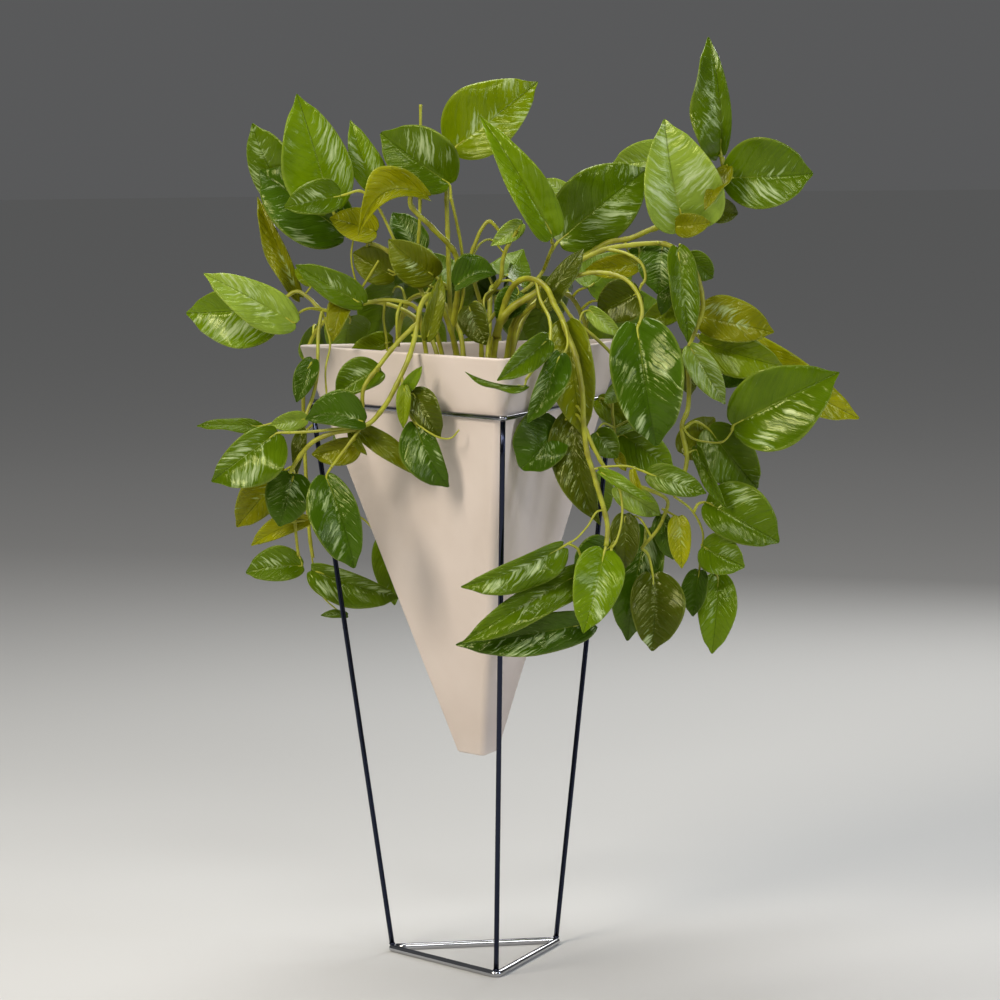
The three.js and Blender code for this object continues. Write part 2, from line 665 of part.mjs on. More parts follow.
    leaves: [
      [154, 496, 202, 128, 399, 236, 60, -8, "lime", {skew: -0.04, shape: [0.5, 0.8]}],
      [125, 473, 198, -20, 389, 234, 45, 10, "olive", {skew: 0.26}],
      [131, 411, 188, -28, 387, 206, 48, -8, "deep", {skew: 0.05}],
      [99, 503, 216, -21, 458, 236, 41, -10, "mid", {skew: 0.35, sway: 0.02}],
      [112, 772, 136, 131, 640, 150, 58, 10, "olive"],
      [102, 737, 194, 62, 657, 214, 36, 8, "deep", {skew: 0.23, sway: 0.04}],
      [86, 756, 212, 26, 709, 262, 34, -12, "mid"],
      [59, 702, 236, -13, 721, 240, 9, -15, "mid", {skew: 0.6, sway: 0.06}],
      [100, 652, 132, 54, 601, 162, 68, -8, "deep", {skew: -0.23, shape: [0.5, 0.5]}],
      [117, 663, 134, 151, 531, 152, 49, 8, "olive", {skew: -0.2, sway: -0.06, shape: [0.5, 0.9]}],
      [152, 596, 198, 216, 558, 206, 15, 10, "lime", {skew: 0.39}],
      [212, 593, 192, 280, 569, 198, 35, -8, "mid", {shape: [0.5, 0.8]}],
      [172, 577, 146, 224, 543, 140, 34, 0, "pale"],
      [180, 541, 150, 180, 478, 146, 36, 0, "olive"],
      [161, 504, 166, 117, 480, 168, 46, 0, "olive"],
      [205, 520, 106, 182, 389, 110, 64, 8, "deep"],
      [214, 467, 146, 212, 376, 158, 65, -4, "olive",
        {skew: 0.11, sway: 0.02, shape: [0.5, 0.75]}],
      [226, 541, 140, 239, 488, 136, 28, 20, "deep"],
      [246, 538, 164, 249, 477, 172, 29, -10, "yellow", {skew: -0.13}],
      [190, 598, 196, 202, 565, 200, 12, 20, "yellow"],
    ],
  },
  {
    name: "vine_left_mid",
    root: [-58, 4],
    stems: [
      {
        r: 2.8,
        at: [[-64, 775, 0], [-70, 798, 4], [-88, 806, 8], [-108, 808, 10], [-130, 805, 12],
          [-152, 799, 14],
          [-170, 797, 16], [-184, 797, 18], [-200, 812, 10], [-214, 820, 4], [-226, 814, 2],
          [-238, 801, 0]],
      },
      { r: 1.9, at: [[-184, 797, 18], [-200, 799, 26], [-212, 794, 32], [-221, 784, 36]] },
      {
        r: 2.2,
        at: [[-184, 797, 18], [-189, 770, 24], [-190, 745, 30], [-191, 720, 36],
          [-197, 692, 42], [-206, 668, 48],
          [-210, 645, 54], [-216, 612, 58], [-220, 580, 60], [-221, 545, 60], [-219, 515, 58],
          [-216, 488, 54]],
      },
      {
        r: 1.4,
        at: [[-184, 797, 18], [-178, 772, 18], [-175, 755, 28], [-181, 725, 38], [-180, 690, 44]],
      },
      {
        r: 1.1,
        at: [[-190, 745, 30], [-192, 730, 38], [-198, 716, 42], [-206, 708, 44], [-208, 714, 46],
          [-202, 728, 46]],
      },
      { r: 1.7, at: [[-108, 808, 10], [-110, 785, 4], [-107, 762, 0], [-106, 744, -2]] },
      { r: 1.3, at: [[-130, 805, 12], [-141, 826, 20], [-148, 860, 28], [-143, 892, 32]] },
      { r: 2.0, at: [[-88, 806, 8], [-93, 792, 16], [-94, 770, 16], [-92, 752, 12]] },
      { r: 1.7, at: [[-130, 805, 12], [-136, 820, 20], [-126, 838, 26], [-115, 856, 30]] },
    ],
    leaves: [
      [-236, 801, 0, -349, 795, -14, 77, -5, "lime", {skew: 0.15, shape: [0.48, 0.8], lobe: 0.06}],
      [-218, 782, 36, -327, 843, 44, 53, 10, "pale", {skew: 0.14, shape: [0.5, 0.86], lobe: 0.05}],
      [-213, 819, -18, -260, 935, -34, 27, 12, "olive", {skew: 0.42, sway: 0.03}],
      [-139, 806, 44, -216, 852, 50, 38, -6, "mid", {skew: -0.16}],
      [-195, 830, -2, -217, 847, -6, 18, 0, "olive"],
      [-157, 812, 30, -172, 758, 44, 28, 15, "yellow"],
      [-197, 735, 44, -217, 685, 50, 28, 10, "deep"],
      [-207, 665, 56, -250, 658, 60, 24, 0, "pale"],
      [-264, 657, 44, -339, 658, 36, 19, 25, "lime", {skew: 0.18}],
      [-210, 650, 66, -218, 598, 70, 18, 20, "olive"],
      [-235, 600, 30, -292, 534, 20, 50, 0, "yellow", {skew: -0.12}],
      [-222, 595, 74, -240, 534, 80, 57, 0, "deep"],
      [-208, 541, 50, -275, 511, 46, 27, -15, "yellow", {skew: -0.23, sway: -0.09}],
      [-213, 486, 54, -282, 478, 56, 43, 6, "mid",
        {skew: -0.09, sway: -0.05, shape: [0.5, 0.72], lobe: 0.05}],
      [-102, 757, -9, -150, 749, -12, 24, -10, "deep", {skew: -0.42}],
    ],
  },
  {
    name: "vine_left_front",
    root: [-20, -36],
    stems: [
      {
        r: 3.3,
        at: [[-28, 768, 46], [-40, 800, 62], [-50, 814, 76], [-58, 811, 88], [-65, 800, 98],
          [-69, 780, 108],
          [-74, 757, 118], [-80, 738, 126], [-89, 718, 130], [-98, 700, 132], [-107, 684, 132],
          [-116, 672, 130],
          [-126, 661, 128], [-138, 655, 126], [-152, 651, 122], [-172, 648, 118], [-199, 636, 112],
          [-219, 612, 106], [-226, 600, 102]],
      },
      {
        r: 2.9,
        at: [[-69, 780, 108], [-82, 768, 114], [-95, 755, 118], [-115, 730, 124],
          [-135, 702, 128], [-138, 665, 129]],
      },
      { r: 1.9, at: [[-138, 655, 126], [-165, 653, 125], [-195, 650, 118], [-241, 648, 108]] },
      { r: 1.9, at: [[-138, 655, 126], [-155, 633, 127], [-172, 611, 126], [-184, 594, 124]] },
      { r: 1.9, at: [[-89, 718, 130], [-86, 690, 136], [-76, 662, 142], [-72, 657, 142]] },
      {
        r: 1.2,
        at: [[-76, 662, 142], [-58, 648, 156], [-42, 640, 160], [-30, 640, 162],
          [-20, 650, 164]],
      },
    ],
    leaves: [
      [-117, 722, 106, -170, 691, 108, 42, 5, "deep", {skew: -0.15, sway: -0.08}],
      [-138, 662, 129, -207, 664, 124, 45, 8, "deep", {skew: -0.3, sway: -0.1}],
      [-242, 648, 108, -322, 590, 112, 64, 4, "deep",
        {skew: 0.34, shape: [0.48, 0.8], lobe: 0.06}],
      [-182, 594, 124, -149, 482, 138, 60, -4, "deep",
        {skew: -0.27, sway: 0.02, shape: [0.55, 0.7], lobe: 0.06}],
      [-145, 632, 92, -200, 622, 90, 33, 0, "yellow", {skew: 0.23}],
      [-152, 650, 112, -132, 620, 114, 12, 20, "deep"],
      [-141, 650, 92, -68, 593, 108, 28, 12, "olive", {skew: 0.19, sway: 0.05}],
      [-72, 656, 140, -33, 580, 136, 48, -6, "deep",
        {skew: -0.3, sway: -0.07, shape: [0.44, 0.74]}],
      [-75, 694, 136, -43, 640, 146, 37, 8, "olive", {skew: 0.23}],
      [-84, 700, 140, -64, 728, 150, 16, 0, "lime"],
      [-86, 702, 148, -88, 652, 152, 18, 0, "lime", {skew: -0.05}],
      [-57, 764, 112, -40, 838, 104, 23, 10, "lime"],
    ],
  },
  {
    name: "vine_left_back",
    root: [-44, 32],
    stems: [
      {
        r: 2.8,
        at: [[-60, 775, -45], [-95, 800, -75], [-140, 805, -110], [-180, 785, -135], [-202, 750, -145],
          [-208, 700, -142], [-208, 640, -135], [-206, 580, -125], [-203, 520, -115], [-198, 482, -108]],
      },
      {
        r: 1.2,
        at: [[-203, 520, -115], [-200, 490, -122], [-193, 455, -128], [-174, 434, -132],
          [-160, 425, -131]],
      },
      { r: 1.4, at: [[-206, 580, -125], [-170, 560, -135], [-135, 540, -142], [-118, 516, -144]] },
    ],
    leaves: [
      [-196, 479, -108, -94, 446, -120, 46, -8, "pale",
        {skew: -0.37, sway: -0.03, shape: [0.4, 0.74]}],
      [-112, 516, -144, -101, 436, -140, 41, 8, "mid", {skew: 0.11}],
      [-160, 425, -130, -192, 425, -126, 12, 20, "mid"],
      [-172, 700, -165, -122, 655, -190, 58, 160, "mid"],
      [-160, 648, -146, -130, 600, -156, 50, -160, "deep"],
      [-150, 786, -150, -160, 730, -190, 58, 170, "mid"],
      [-190, 775, -172, -162, 710, -198, 54, 150, "deep"],
    ],
  },
];

// The stems that hang over the back edge, with leaves to the left and right in turn.
const BACK_VINES = [
  {
    name: "vine_back_left",
    root: [-14, 46],
    at: [[-20, 775, -72], [-48, 812, -102], [-78, 808, -128], [-92, 770, -146], [-96, 720, -154],
      [-92, 660, -152], [-84, 605, -144], [-72, 560, -134]],
    crown: [
      [-52, 826, -118, -124, 846, -186, 76, 160, "mid"],
      [-36, 826, -98, -62, 866, -136, 54, 170, "deep"],
    ],
  },
  {
    name: "vine_back_middle",
    root: [16, 44],
    at: [[18, 780, -72], [20, 818, -104], [24, 820, -136], [28, 788, -160], [30, 740, -168], [26, 680, -166],
      [20, 622, -158], [12, 570, -148]],
    crown: [
      [40, 836, -118, 60, 868, -196, 62, 175, "mid"],
      [36, 818, -138, 40, 812, -214, 66, 165, "deep"],
    ],
  },
  {
    name: "vine_back_right",
    root: [44, 30],
    at: [[60, 785, -58], [88, 814, -94], [116, 810, -130], [134, 775, -156], [142, 725, -166],
      [142, 668, -164], [132, 615, -156], [120, 575, -148]],
    crown: [
      [140, 822, -122, 190, 862, -182, 74, 170, "mid"],
      [170, 800, -130, 240, 790, -180, 74, 160, "deep"],
    ],
  },
];

// Leaves in turn to the left and right of a hanging stem, smaller towards its end, their tips down and away.
function hangingLeaves(at) {
  const tones = ["deep", "mid", "olive", "deep", "lime", "mid"];
  return at.slice(2).map(([x, z, toward], k) => {
    const side = k % 2 ? 1 : -1;
    const length = 96 - 7 * k;
    const base = [x + 17 * side, z + 16, toward - 22];
    const tip = [base[0] + 0.3 * side * length, base[1] - 0.82 * length, base[2] - 0.4 * length];
    return [...base, ...tip, 0.68 * length, 180 + 22 * side, tones[k % tones.length]];
  });
}

BACK_VINES.forEach(({ name, root, at, crown }) => {
  VINES.push({ name, root, stems: [{ r: 3.2, at }], leaves: [...hangingLeaves(at), ...crown] });
});

const object = new THREE.Group();
object.add(pot(), soil(VINES));
object.add(rodLoop("ring_top", ringInradius, RING_Z, ROD));
object.add(rodLoop("ring_base", baseInradius, baseZ, BASE_ROD));
["leg_left", "leg_front", "leg_right"].forEach((name, k) => object.add(leg(name, CORNERS[k])));
let leafCount = 0;
VINES.forEach((row) => {
  object.add(vine(row, leafCount));
  leafCount += row.leaves.length;
});

const middle = new THREE.Box3().setFromObject(object).getCenter(new THREE.Vector3());
object.position.set(-middle.x, -middle.y, 0);

export default object;
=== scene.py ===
# %% [markdown]
# # A golden pothos in a three-sided pot on a wire stand
# A trailing house plant stands in a cream pot shaped as an upside-down pyramid, wedged in a stand of
# polished steel rod. The construction model gives the frame: every piece below is made in its metres,
# in its place. Surfaces are worked out with numpy as rings of points that are skinned, because leaves,
# stems, rods and the pot all are such skins, and whole arrays keep the script short and quick.

import math

import bpy
import numpy as np
from mathutils import Matrix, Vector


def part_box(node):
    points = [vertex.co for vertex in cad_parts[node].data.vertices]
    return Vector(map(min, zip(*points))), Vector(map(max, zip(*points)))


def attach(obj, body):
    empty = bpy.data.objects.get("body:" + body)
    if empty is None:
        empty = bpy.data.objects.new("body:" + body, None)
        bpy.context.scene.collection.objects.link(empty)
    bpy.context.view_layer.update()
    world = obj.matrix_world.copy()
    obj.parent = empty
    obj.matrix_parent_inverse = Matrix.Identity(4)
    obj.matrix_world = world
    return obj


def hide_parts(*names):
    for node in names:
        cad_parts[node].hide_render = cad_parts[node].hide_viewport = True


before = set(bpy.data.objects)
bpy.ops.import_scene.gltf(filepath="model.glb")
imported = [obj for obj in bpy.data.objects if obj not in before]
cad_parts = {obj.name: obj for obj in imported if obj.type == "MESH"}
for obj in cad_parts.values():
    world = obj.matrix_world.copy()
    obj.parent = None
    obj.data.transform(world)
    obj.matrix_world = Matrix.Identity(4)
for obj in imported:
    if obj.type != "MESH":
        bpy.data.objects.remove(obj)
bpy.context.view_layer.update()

# %% [markdown]
# ## Where things are
# The stand's axis is found from the lower triangle's box. All the plant's places were chosen in millimetres
# as they are seen from the front: x and z on the plane through the stand's axis, and how far the place lies
# from that plane towards the eye. One function turns them to places in the room.

# %% Places
MM = 0.001
TURN = math.radians(8.4)
CORNERS = np.radians([150.0, 270.0, 30.0]) + TURN
BASE_CORNER_REACH = 113.3 * MM
EYE_BACK = 4950.0
EYE_HIGH = 1050.0

low, high = (np.array(corner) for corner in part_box("ring_base"))
middle_of_corners = np.array(
    [np.cos(CORNERS).min() + np.cos(CORNERS).max(), np.sin(CORNERS).min() + np.sin(CORNERS).max()]
)
AXIS = np.append((low + high)[:2] / 2 - BASE_CORNER_REACH * middle_of_corners / 2, 0.0)
EYE = np.array([0.0, -EYE_BACK, EYE_HIGH]) * MM + AXIS
print("stand axis at", AXIS.round(4))


def seen(places):
    """Places (x, z, towards) in mm as seen from the front. Each moves along its sight line from the plane
    y = 0 towards the eye, so x and z - eye height shrink by the share of the way that is left."""
    x, z, toward = np.atleast_2d(np.asarray(places, float)).T
    share = (EYE_BACK - toward) / EYE_BACK
    return np.stack([x * share, -toward, EYE_HIGH + (z - EYE_HIGH) * share], 1) * MM + AXIS


# %% [markdown]
# ## Colours and nodes
# A photograph's colours are sRGB values, while the shader works with linear light, so one function turns
# the hex values. A second one adds a shader node with its settings and links, which keeps each material
# readable as a list of what is mixed with what.

# %% Colour and node helpers
def linear(text):
    """A six-digit sRGB hex value as linear red, green and blue, undone from the sRGB curve, and alpha 1."""
    value = np.array([int(text[i : i + 2], 16) for i in (0, 2, 4)]) / 255
    light = np.where(value <= 0.04045, value / 12.92, ((value + 0.055) / 1.055) ** 2.4)
    return (*map(float, light), 1.0)


def new_material(name):
    material = bpy.data.materials.new(name)
    material.use_nodes = True
    tree = material.node_tree
    return material, tree, tree.nodes["Principled BSDF"]


def add(tree, kind, inputs=(), out=0, **settings):
    """Adds one node and gives back one of its outputs. inputs pairs a socket with a value or an output."""
    item = tree.nodes.new("ShaderNode" + kind)
    for name, value in settings.items():
        setattr(item, name, value)
    for key, value in dict(inputs).items():
        if isinstance(value, bpy.types.NodeSocket):
            tree.links.new(value, item.inputs[key])
        else:
            item.inputs[key].default_value = value
    return item.outputs[out]


# %% [markdown]
# ## Skins over rings
# A leaf, a stem and a rod are all closed skins: rings of equally many points, one after the other, shut
# with a fan at each end. One function gives the faces for any such stack, and one mesh takes many skins.

# %% Skin helpers
def skin_faces(rings, around, first):
    """Faces of a stack of rings: a quad between neighbours on two rings, and a fan from each end ring to
    its pole. The points are the rings in order, then the first pole and the last."""
    i = np.arange(around)
    j = (i + 1) % around
    k = np.arange(rings - 1)[:, None] * around
    quads = np.stack([k + i, k + j, k + j + around, k + i + around], -1).reshape(-1, 4)
    end = (rings - 1) * around
    poles = np.full(around, rings * around)
    fans = np.concatenate([np.stack([j, i, poles], 1), np.stack([end + i, end + j, poles + 1], 1)])
    return quads + first, fans + first


def ring_skin(points, **values):
    """One skin as a dictionary: its points with both poles, and each value spread over them likewise."""
    flat = points.reshape(-1, 3)
    skin = {"points": np.concatenate([flat, points[:1].mean(1), points[-1:].mean(1)])}
    skin["shape"] = points.shape[:2]
    for name, value in values.items():
        value = np.broadcast_to(value, points.shape[:2] + (value.shape[-1],))
        ends = [value[:1].mean(1), value[-1:].mean(1)]
        skin[name] = np.concatenate([value.reshape(-1, value.shape[-1]), *ends])
    return skin


def piece_from(name, skins, materials, replaced=(), body="root"):
    """One smooth mesh object from skins. Each skin names its material's place in the list."""
    quads, fans, quad_slots, fan_slots, first = [], [], [], [], 0
    for skin in skins:
        four, three = skin_faces(*skin["shape"], first)
        quads.append(four)
        fans.append(three)
        quad_slots.append(np.full(len(four), skin.get("material", 0)))
        fan_slots.append(np.full(len(three), skin.get("material", 0)))
        first += len(skin["points"])
    quads, fans = np.concatenate(quads), np.concatenate(fans)
    mesh = bpy.data.meshes.new(name)
    mesh.vertices.add(first)
    mesh.vertices.foreach_set("co", np.concatenate([s["points"] for s in skins]).ravel())
    mesh.loops.add(quads.size + fans.size)
    mesh.loops.foreach_set("vertex_index", np.concatenate([quads.ravel(), fans.ravel()]))
    mesh.polygons.add(len(quads) + len(fans))
    starts = np.concatenate([np.arange(len(quads)) * 4, quads.size + np.arange(len(fans)) * 3])
    mesh.polygons.foreach_set("loop_start", starts)
    mesh.polygons.foreach_set("material_index", np.concatenate(quad_slots + fan_slots))
    mesh.polygons.foreach_set("use_smooth", np.ones(len(quads) + len(fans), bool))
    for key in ("blade", "leaf", "tone", "stalk"):
        if any(key in skin for skin in skins):
            rows = [skin.get(key, np.zeros((len(skin["points"]), 3))) for skin in skins]
            attribute = mesh.attributes.new(key, "FLOAT_VECTOR", "POINT")
            attribute.data.foreach_set("vector", np.concatenate(rows).ravel())
    mesh.update()
    mesh.validate()
    for material in materials:
        mesh.materials.append(material)
    piece = bpy.data.objects.new(name, mesh)
    bpy.context.scene.collection.objects.link(piece)
    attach(piece, body)
    if replaced:
        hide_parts(*replaced)
    print(name, "faces:", len(mesh.polygons))
    return piece


# %% [markdown]
# ## Camera
# The photograph was taken from about five metres with a long lens, a little above the middle of the object
# and looking slightly down. The camera's place, its turn and its lens were fitted to the stand's corners.

# %% Camera
CAMERA_BACK = 4.9535
CAMERA_HIGH = 1.0504
PITCH, YAW, ROLL = np.radians([5.61, -0.33, 0.60])
FOCAL_PIXELS = 4097.23
SENSOR = 36.0

right = np.array([math.cos(YAW), math.sin(YAW), 0.0])
ahead = np.array([-math.sin(YAW) * math.cos(PITCH), math.cos(YAW) * math.cos(PITCH), -math.sin(PITCH)])
above = np.cross(right, ahead)
right_rolled = math.cos(ROLL) * right - math.sin(ROLL) * above
above_rolled = math.sin(ROLL) * right + math.cos(ROLL) * above
turned = Matrix(np.stack([right_rolled, above_rolled, -ahead], 1).tolist())

camera_data = bpy.data.cameras.new("camera")
camera_data.sensor_width = SENSOR
camera_data.lens = FOCAL_PIXELS / 1000 * SENSOR
camera_data.clip_end = 60
camera = bpy.data.objects.new("camera", camera_data)
camera.location = AXIS + np.array([0.0, -CAMERA_BACK, CAMERA_HIGH])
camera.rotation_euler = turned.to_euler()
bpy.context.scene.collection.objects.link(camera)
bpy.context.scene.camera = camera
print("lens in mm:", round(camera_data.lens, 1))

# %% [markdown]
# ## Floor and light
# The floor is one wide pale disc that gets paler far away, so that its end melts into the dim room and
# nothing else shows behind the object. Soft light comes from large area lamps: a strong one high at the
# front left, a weaker one at the front, a cool one at the right, one above, and one behind that edges the
# leaves. A lamp far wider than a leaf gives the long gleams between the veins.

# %% Floor and lights
# Pale matt floor paint: no gleam at all, so only soft shadows lie on it.
FLOOR_RADIUS = 40.0
FLOOR_SIDES = 96
PALER_FROM, PALER_TO = 1.2, 7.0
floor_material, tree, shader = new_material("pale matt floor paint")
place = add(tree, "TexCoord", out=3)
reach = add(tree, "VectorMath", {0: place}, out="Value", operation="LENGTH")
away = {"Value": reach, "From Min": PALER_FROM, "From Max": PALER_TO}
far = add(tree, "MapRange", away, interpolation_type="SMOOTHSTEP")
paper = add(tree, "Mix", {0: far, 6: linear("cfcfcc"), 7: linear("f6f6f4")}, out=2, data_type="RGBA")
tree.links.new(paper, shader.inputs["Base Color"])
shader.inputs["Roughness"].default_value = 0.9
shader.inputs["Specular IOR Level"].default_value = 0.0
turns = np.linspace(0, 2 * math.pi, FLOOR_SIDES + 1)[:-1]
edge = [(FLOOR_RADIUS * math.cos(t), FLOOR_RADIUS * math.sin(t), 0.0) for t in turns]
floor_mesh = bpy.data.meshes.new("floor")
floor_mesh.from_pydata(edge, [], [list(range(len(edge)))])
floor_mesh.materials.append(floor_material)
floor = bpy.data.objects.new("floor", floor_mesh)
bpy.context.scene.collection.objects.link(floor)

world = bpy.data.worlds.new("studio")
bpy.context.scene.world = world
world.use_nodes = True
world.node_tree.nodes["Background"].inputs["Color"].default_value = linear("f4f5f7")
world.node_tree.nodes["Background"].inputs["Strength"].default_value = 0.11


def lamp(name, place, aim, width, height, power, colour):
    """A rectangular area lamp at a place, turned to look at an aim, in metres from the stand's axis."""
    data = bpy.data.lights.new(name, "AREA")
    data.shape = "RECTANGLE"
    data.size, data.size_y = width, height
    data.energy = power
    data.color = linear(colour)[:3]
    item = bpy.data.objects.new(name, data)
    place, aim = np.array(place, float), np.array(aim, float)
    back = (place - aim) / np.linalg.norm(place - aim)
    side = np.cross([0.0, 0.0, 1.0], back)
    side /= np.linalg.norm(side)
    item.location = place + AXIS
    item.rotation_euler = Matrix(np.stack([side, np.cross(back, side), back], 1).tolist()).to_euler()
    bpy.context.scene.collection.objects.link(item)


lamp("key", (-2.2, -2.6, 2.6), (0, 0, 0.75), 1.2, 1.2, 102, "fff5e8")
lamp("front", (0.9, -3.6, 2.9), (0, 0, 0.6), 1.8, 0.5, 50, "ffffff")
lamp("fill", (2.9, -1.2, 1.3), (0, 0, 0.7), 0.5, 1.8, 26, "dfe6ff")
lamp("top", (-0.3, 0.5, 3.0), (0, 0, 0.8), 1.6, 0.8, 46, "ffffff")
lamp("edge", (1.2, 2.8, 2.1), (0, 0, 0.8), 0.8, 1.6, 30, "ffffff")
bpy.context.scene.view_settings.view_transform = "Standard"

# %% [markdown]
# ## The pot
# A cast ceramic shell with a matt cream surface. It could be a cone with three cuts, but one outline, a
# triangle with round corners, carried up a profile gives the true soft corners and the rounded lip in one
# closed surface.

# %% Pot shape
RIM_Z, TIP_Z = 750.0, 254.0
RIM_INRADIUS, TIP_INRADIUS = 121.5, 17.0
RIM_CORNER, TIP_CORNER = 12.0, 7.0
WALL = 8.0
INNER_FLOOR_Z = TIP_Z + 14.0
LIP = 3.2


def round_triangle(inradius, corner, arc_steps, side_steps):
    """A triangle with round corners: the corner circles' centres lie at twice (inradius - corner) from the
    axis, each arc turns by 120 degrees, and the straight sides between are cut in equal steps."""
    bend = np.radians(np.linspace(-60, 60, arc_steps + 1))
    share = np.linspace(0, 1, side_steps + 1)[1:-1, None]
    places, outs = [], []
    for k, angle in enumerate(CORNERS):
        out = np.stack([np.cos(angle + bend), np.sin(angle + bend)], 1)
        following = CORNERS[(k + 1) % 3]
        centre = 2 * (inradius - corner) * np.array([math.cos(angle), math.sin(angle)])
        next_centre = 2 * (inradius - corner) * np.array([math.cos(following), math.sin(following)])
        near, far = centre + corner * out[-1], next_centre + corner * out[-1]
        places += [centre + corner * out, near * (1 - share) + far * share]
        outs += [out, np.repeat(out[-1:], len(share), 0)]
    return np.concatenate(places), np.concatenate(outs)


def pot_inradius(z):
    return TIP_INRADIUS + (RIM_INRADIUS - TIP_INRADIUS) * (z - TIP_Z) / (RIM_Z - TIP_Z)


def pot_ring(z, inset, arc_steps=14, side_steps=10):
    """The pot's outline at a height, drawn in by an inset, in metres."""
    corner = max(TIP_CORNER + (RIM_CORNER - TIP_CORNER) * (z - TIP_Z) / (RIM_Z - TIP_Z) - inset, 3.0)
    flat, _ = round_triangle(pot_inradius(z) - inset, corner, arc_steps, side_steps)
    return np.column_stack([flat, np.full(len(flat), z)]) * MM + AXIS


def quarter(start, turn, steps=6):
    """Shares of a quarter circle from a start angle: sine and cosine in equal turns."""
    angle = np.radians(start + np.linspace(0, turn, steps))
    return np.cos(angle), np.sin(angle)


profile = [(TIP_Z, 9.0)]
cosine, sine = quarter(-90, 90)
profile += [(TIP_Z + LIP + LIP * b, LIP - LIP * a) for a, b in zip(cosine, sine)]
profile += [(z, 0.0) for z in np.linspace(TIP_Z + 20, RIM_Z - 12, 24)]
cosine, sine = quarter(0, 90)
profile += [(RIM_Z - LIP + LIP * b, LIP - LIP * a) for a, b in zip(cosine, sine)]
profile += [(RIM_Z - LIP + LIP * b, WALL - LIP + LIP * a) for a, b in zip(cosine[::-1], sine[::-1])]
profile += [(z, WALL) for z in (RIM_Z - 12, RIM_Z - 60, INNER_FLOOR_Z + 20, INNER_FLOOR_Z)]
pot_rings = np.stack([pot_ring(z, inset) for z, inset in profile])
print("pot rings:", pot_rings.shape)

# %% Pot finish
# Matt bisque ceramic: light spreads softly, with a faint cloudiness of some 110 mm and a fine grain that
# the eye only notices as softness.
bisque, tree, shader = new_material("matt bisque ceramic")
place = add(tree, "TexCoord", out=3)
cloud = add(tree, "TexNoise", {"Vector": place, "Scale": 9.0, "Detail": 3.0})
warm = add(tree, "ValToRGB", {"Fac": cloud})
ramp = warm.node.color_ramp
ramp.elements[0].position, ramp.elements[0].color = 0.3, linear("d8cabe")
ramp.elements[1].position, ramp.elements[1].color = 0.7, linear("e1d4c9")
tree.links.new(warm, shader.inputs["Base Color"])
shader.inputs["Roughness"].default_value = 0.62
shader.inputs["Specular IOR Level"].default_value = 0.35
# grain of 1.2 mm, coarser than the real 0.3 mm so that it shows at all
grain = add(tree, "TexNoise", {"Vector": place, "Scale": 800.0, "Detail": 2.0})
bump = add(tree, "Bump", {"Height": grain, "Strength": 0.05, "Distance": 0.0003})
tree.links.new(bump, shader.inputs["Normal"])
piece_from("ceramic_pot", [ring_skin(pot_rings)], [bisque], ["pot"])

# %% [markdown]
# ## The stand
# Round steel rod is bent to two triangles, which three straight legs join. The rod is one polished steel,
# but the legs and the upper triangle are painted darker and the lower one lighter, as painted reflection. A
# rod is a circle carried along a path, so the two triangles are one function with two sizes, and a leg is
# the same circle carried along a line. A curve with a bevel would look the same, but rings of points lie
# exactly in the model's rods. The weld at a leg's foot is a small bead.

# %% Stand shape
ROD = 3.1
BASE_ROD = 4.3
BEND_GAP = 0.6
CLEARANCE = 0.3
RING_Z = 680.0
BASE_REACH = 118.2
ROD_SIDES = 12
AROUND_ROD = 24

flat_half = math.cos(math.pi / ROD_SIDES)
pot_slope = (RIM_INRADIUS - TIP_INRADIUS) / (RIM_Z - TIP_Z)
ring_inradius = pot_inradius(RING_Z) + (ROD + CLEARANCE) * math.hypot(1, pot_slope)
ring_reach = 2 * ring_inradius - ROD - BEND_GAP
base_inradius = (BASE_REACH + BASE_ROD + BEND_GAP) / 2
base_z = BASE_ROD * flat_half


def circle(count, start=0.0):
    turn = start + np.linspace(0, 2 * math.pi, count + 1)[:-1]
    return np.cos(turn), np.sin(turn)


def rod_triangle(inradius, z, radius):
    """A ring torus with a triangular path: at each path place the circle is spanned by the outward way and
    +Z. The last ring joins the first, so the skin is built open and its two ends meet inside the rod."""
    places, outs = round_triangle(inradius, radius + BEND_GAP, 8, 14)
    places = np.concatenate([places, places[:1]])
    outs = np.concatenate([outs, outs[:1]])
    across, up = circle(AROUND_ROD)
    rings = np.empty((len(places), AROUND_ROD, 3))
    rings[..., :2] = places[:, None] + radius * across[None, :, None] * outs[:, None]
    rings[..., 2] = z + radius * up
    return rings[:, ::-1] * MM + AXIS


def rod_between(start, end, radius, rings=16):
    """A straight rod: the circle is spanned by X and Y, and its centre runs along the line in even steps."""
    share = np.linspace(0, 1, rings)[:, None, None]
    centre = np.array(start) * (1 - share) + np.array(end) * share
    across, along = circle(AROUND_ROD)
    section = np.stack([radius * across, radius * along, np.zeros(AROUND_ROD)], 1)
    return (centre + section) * MM + AXIS


def bead(centre, radius, squash=1.0, rings=9, around=16):
    """A weld bead: a sphere of rings by latitude, squashed along Z."""
    latitude = np.linspace(-math.pi / 2, math.pi / 2, rings + 2)[1:-1, None]
    across, along = circle(around)
    flat = np.cos(latitude)
    ball = np.stack([flat * across, flat * along, squash * np.sin(latitude) + 0 * along], -1)
    return (np.array(centre) + radius * ball) * MM + AXIS


def leg_ends(angle):
    """The leg's axis leaves the base corner and ends under the upper corner, on the line between them."""
    ends = []
    for z in (2 * base_z + CLEARANCE, RING_Z - ROD * flat_half - CLEARANCE):
        reach = BASE_REACH + (ring_reach - BASE_REACH) * (z - base_z) / (RING_Z - base_z)
        ends.append((reach * math.cos(angle), reach * math.sin(angle), z))
    return ends
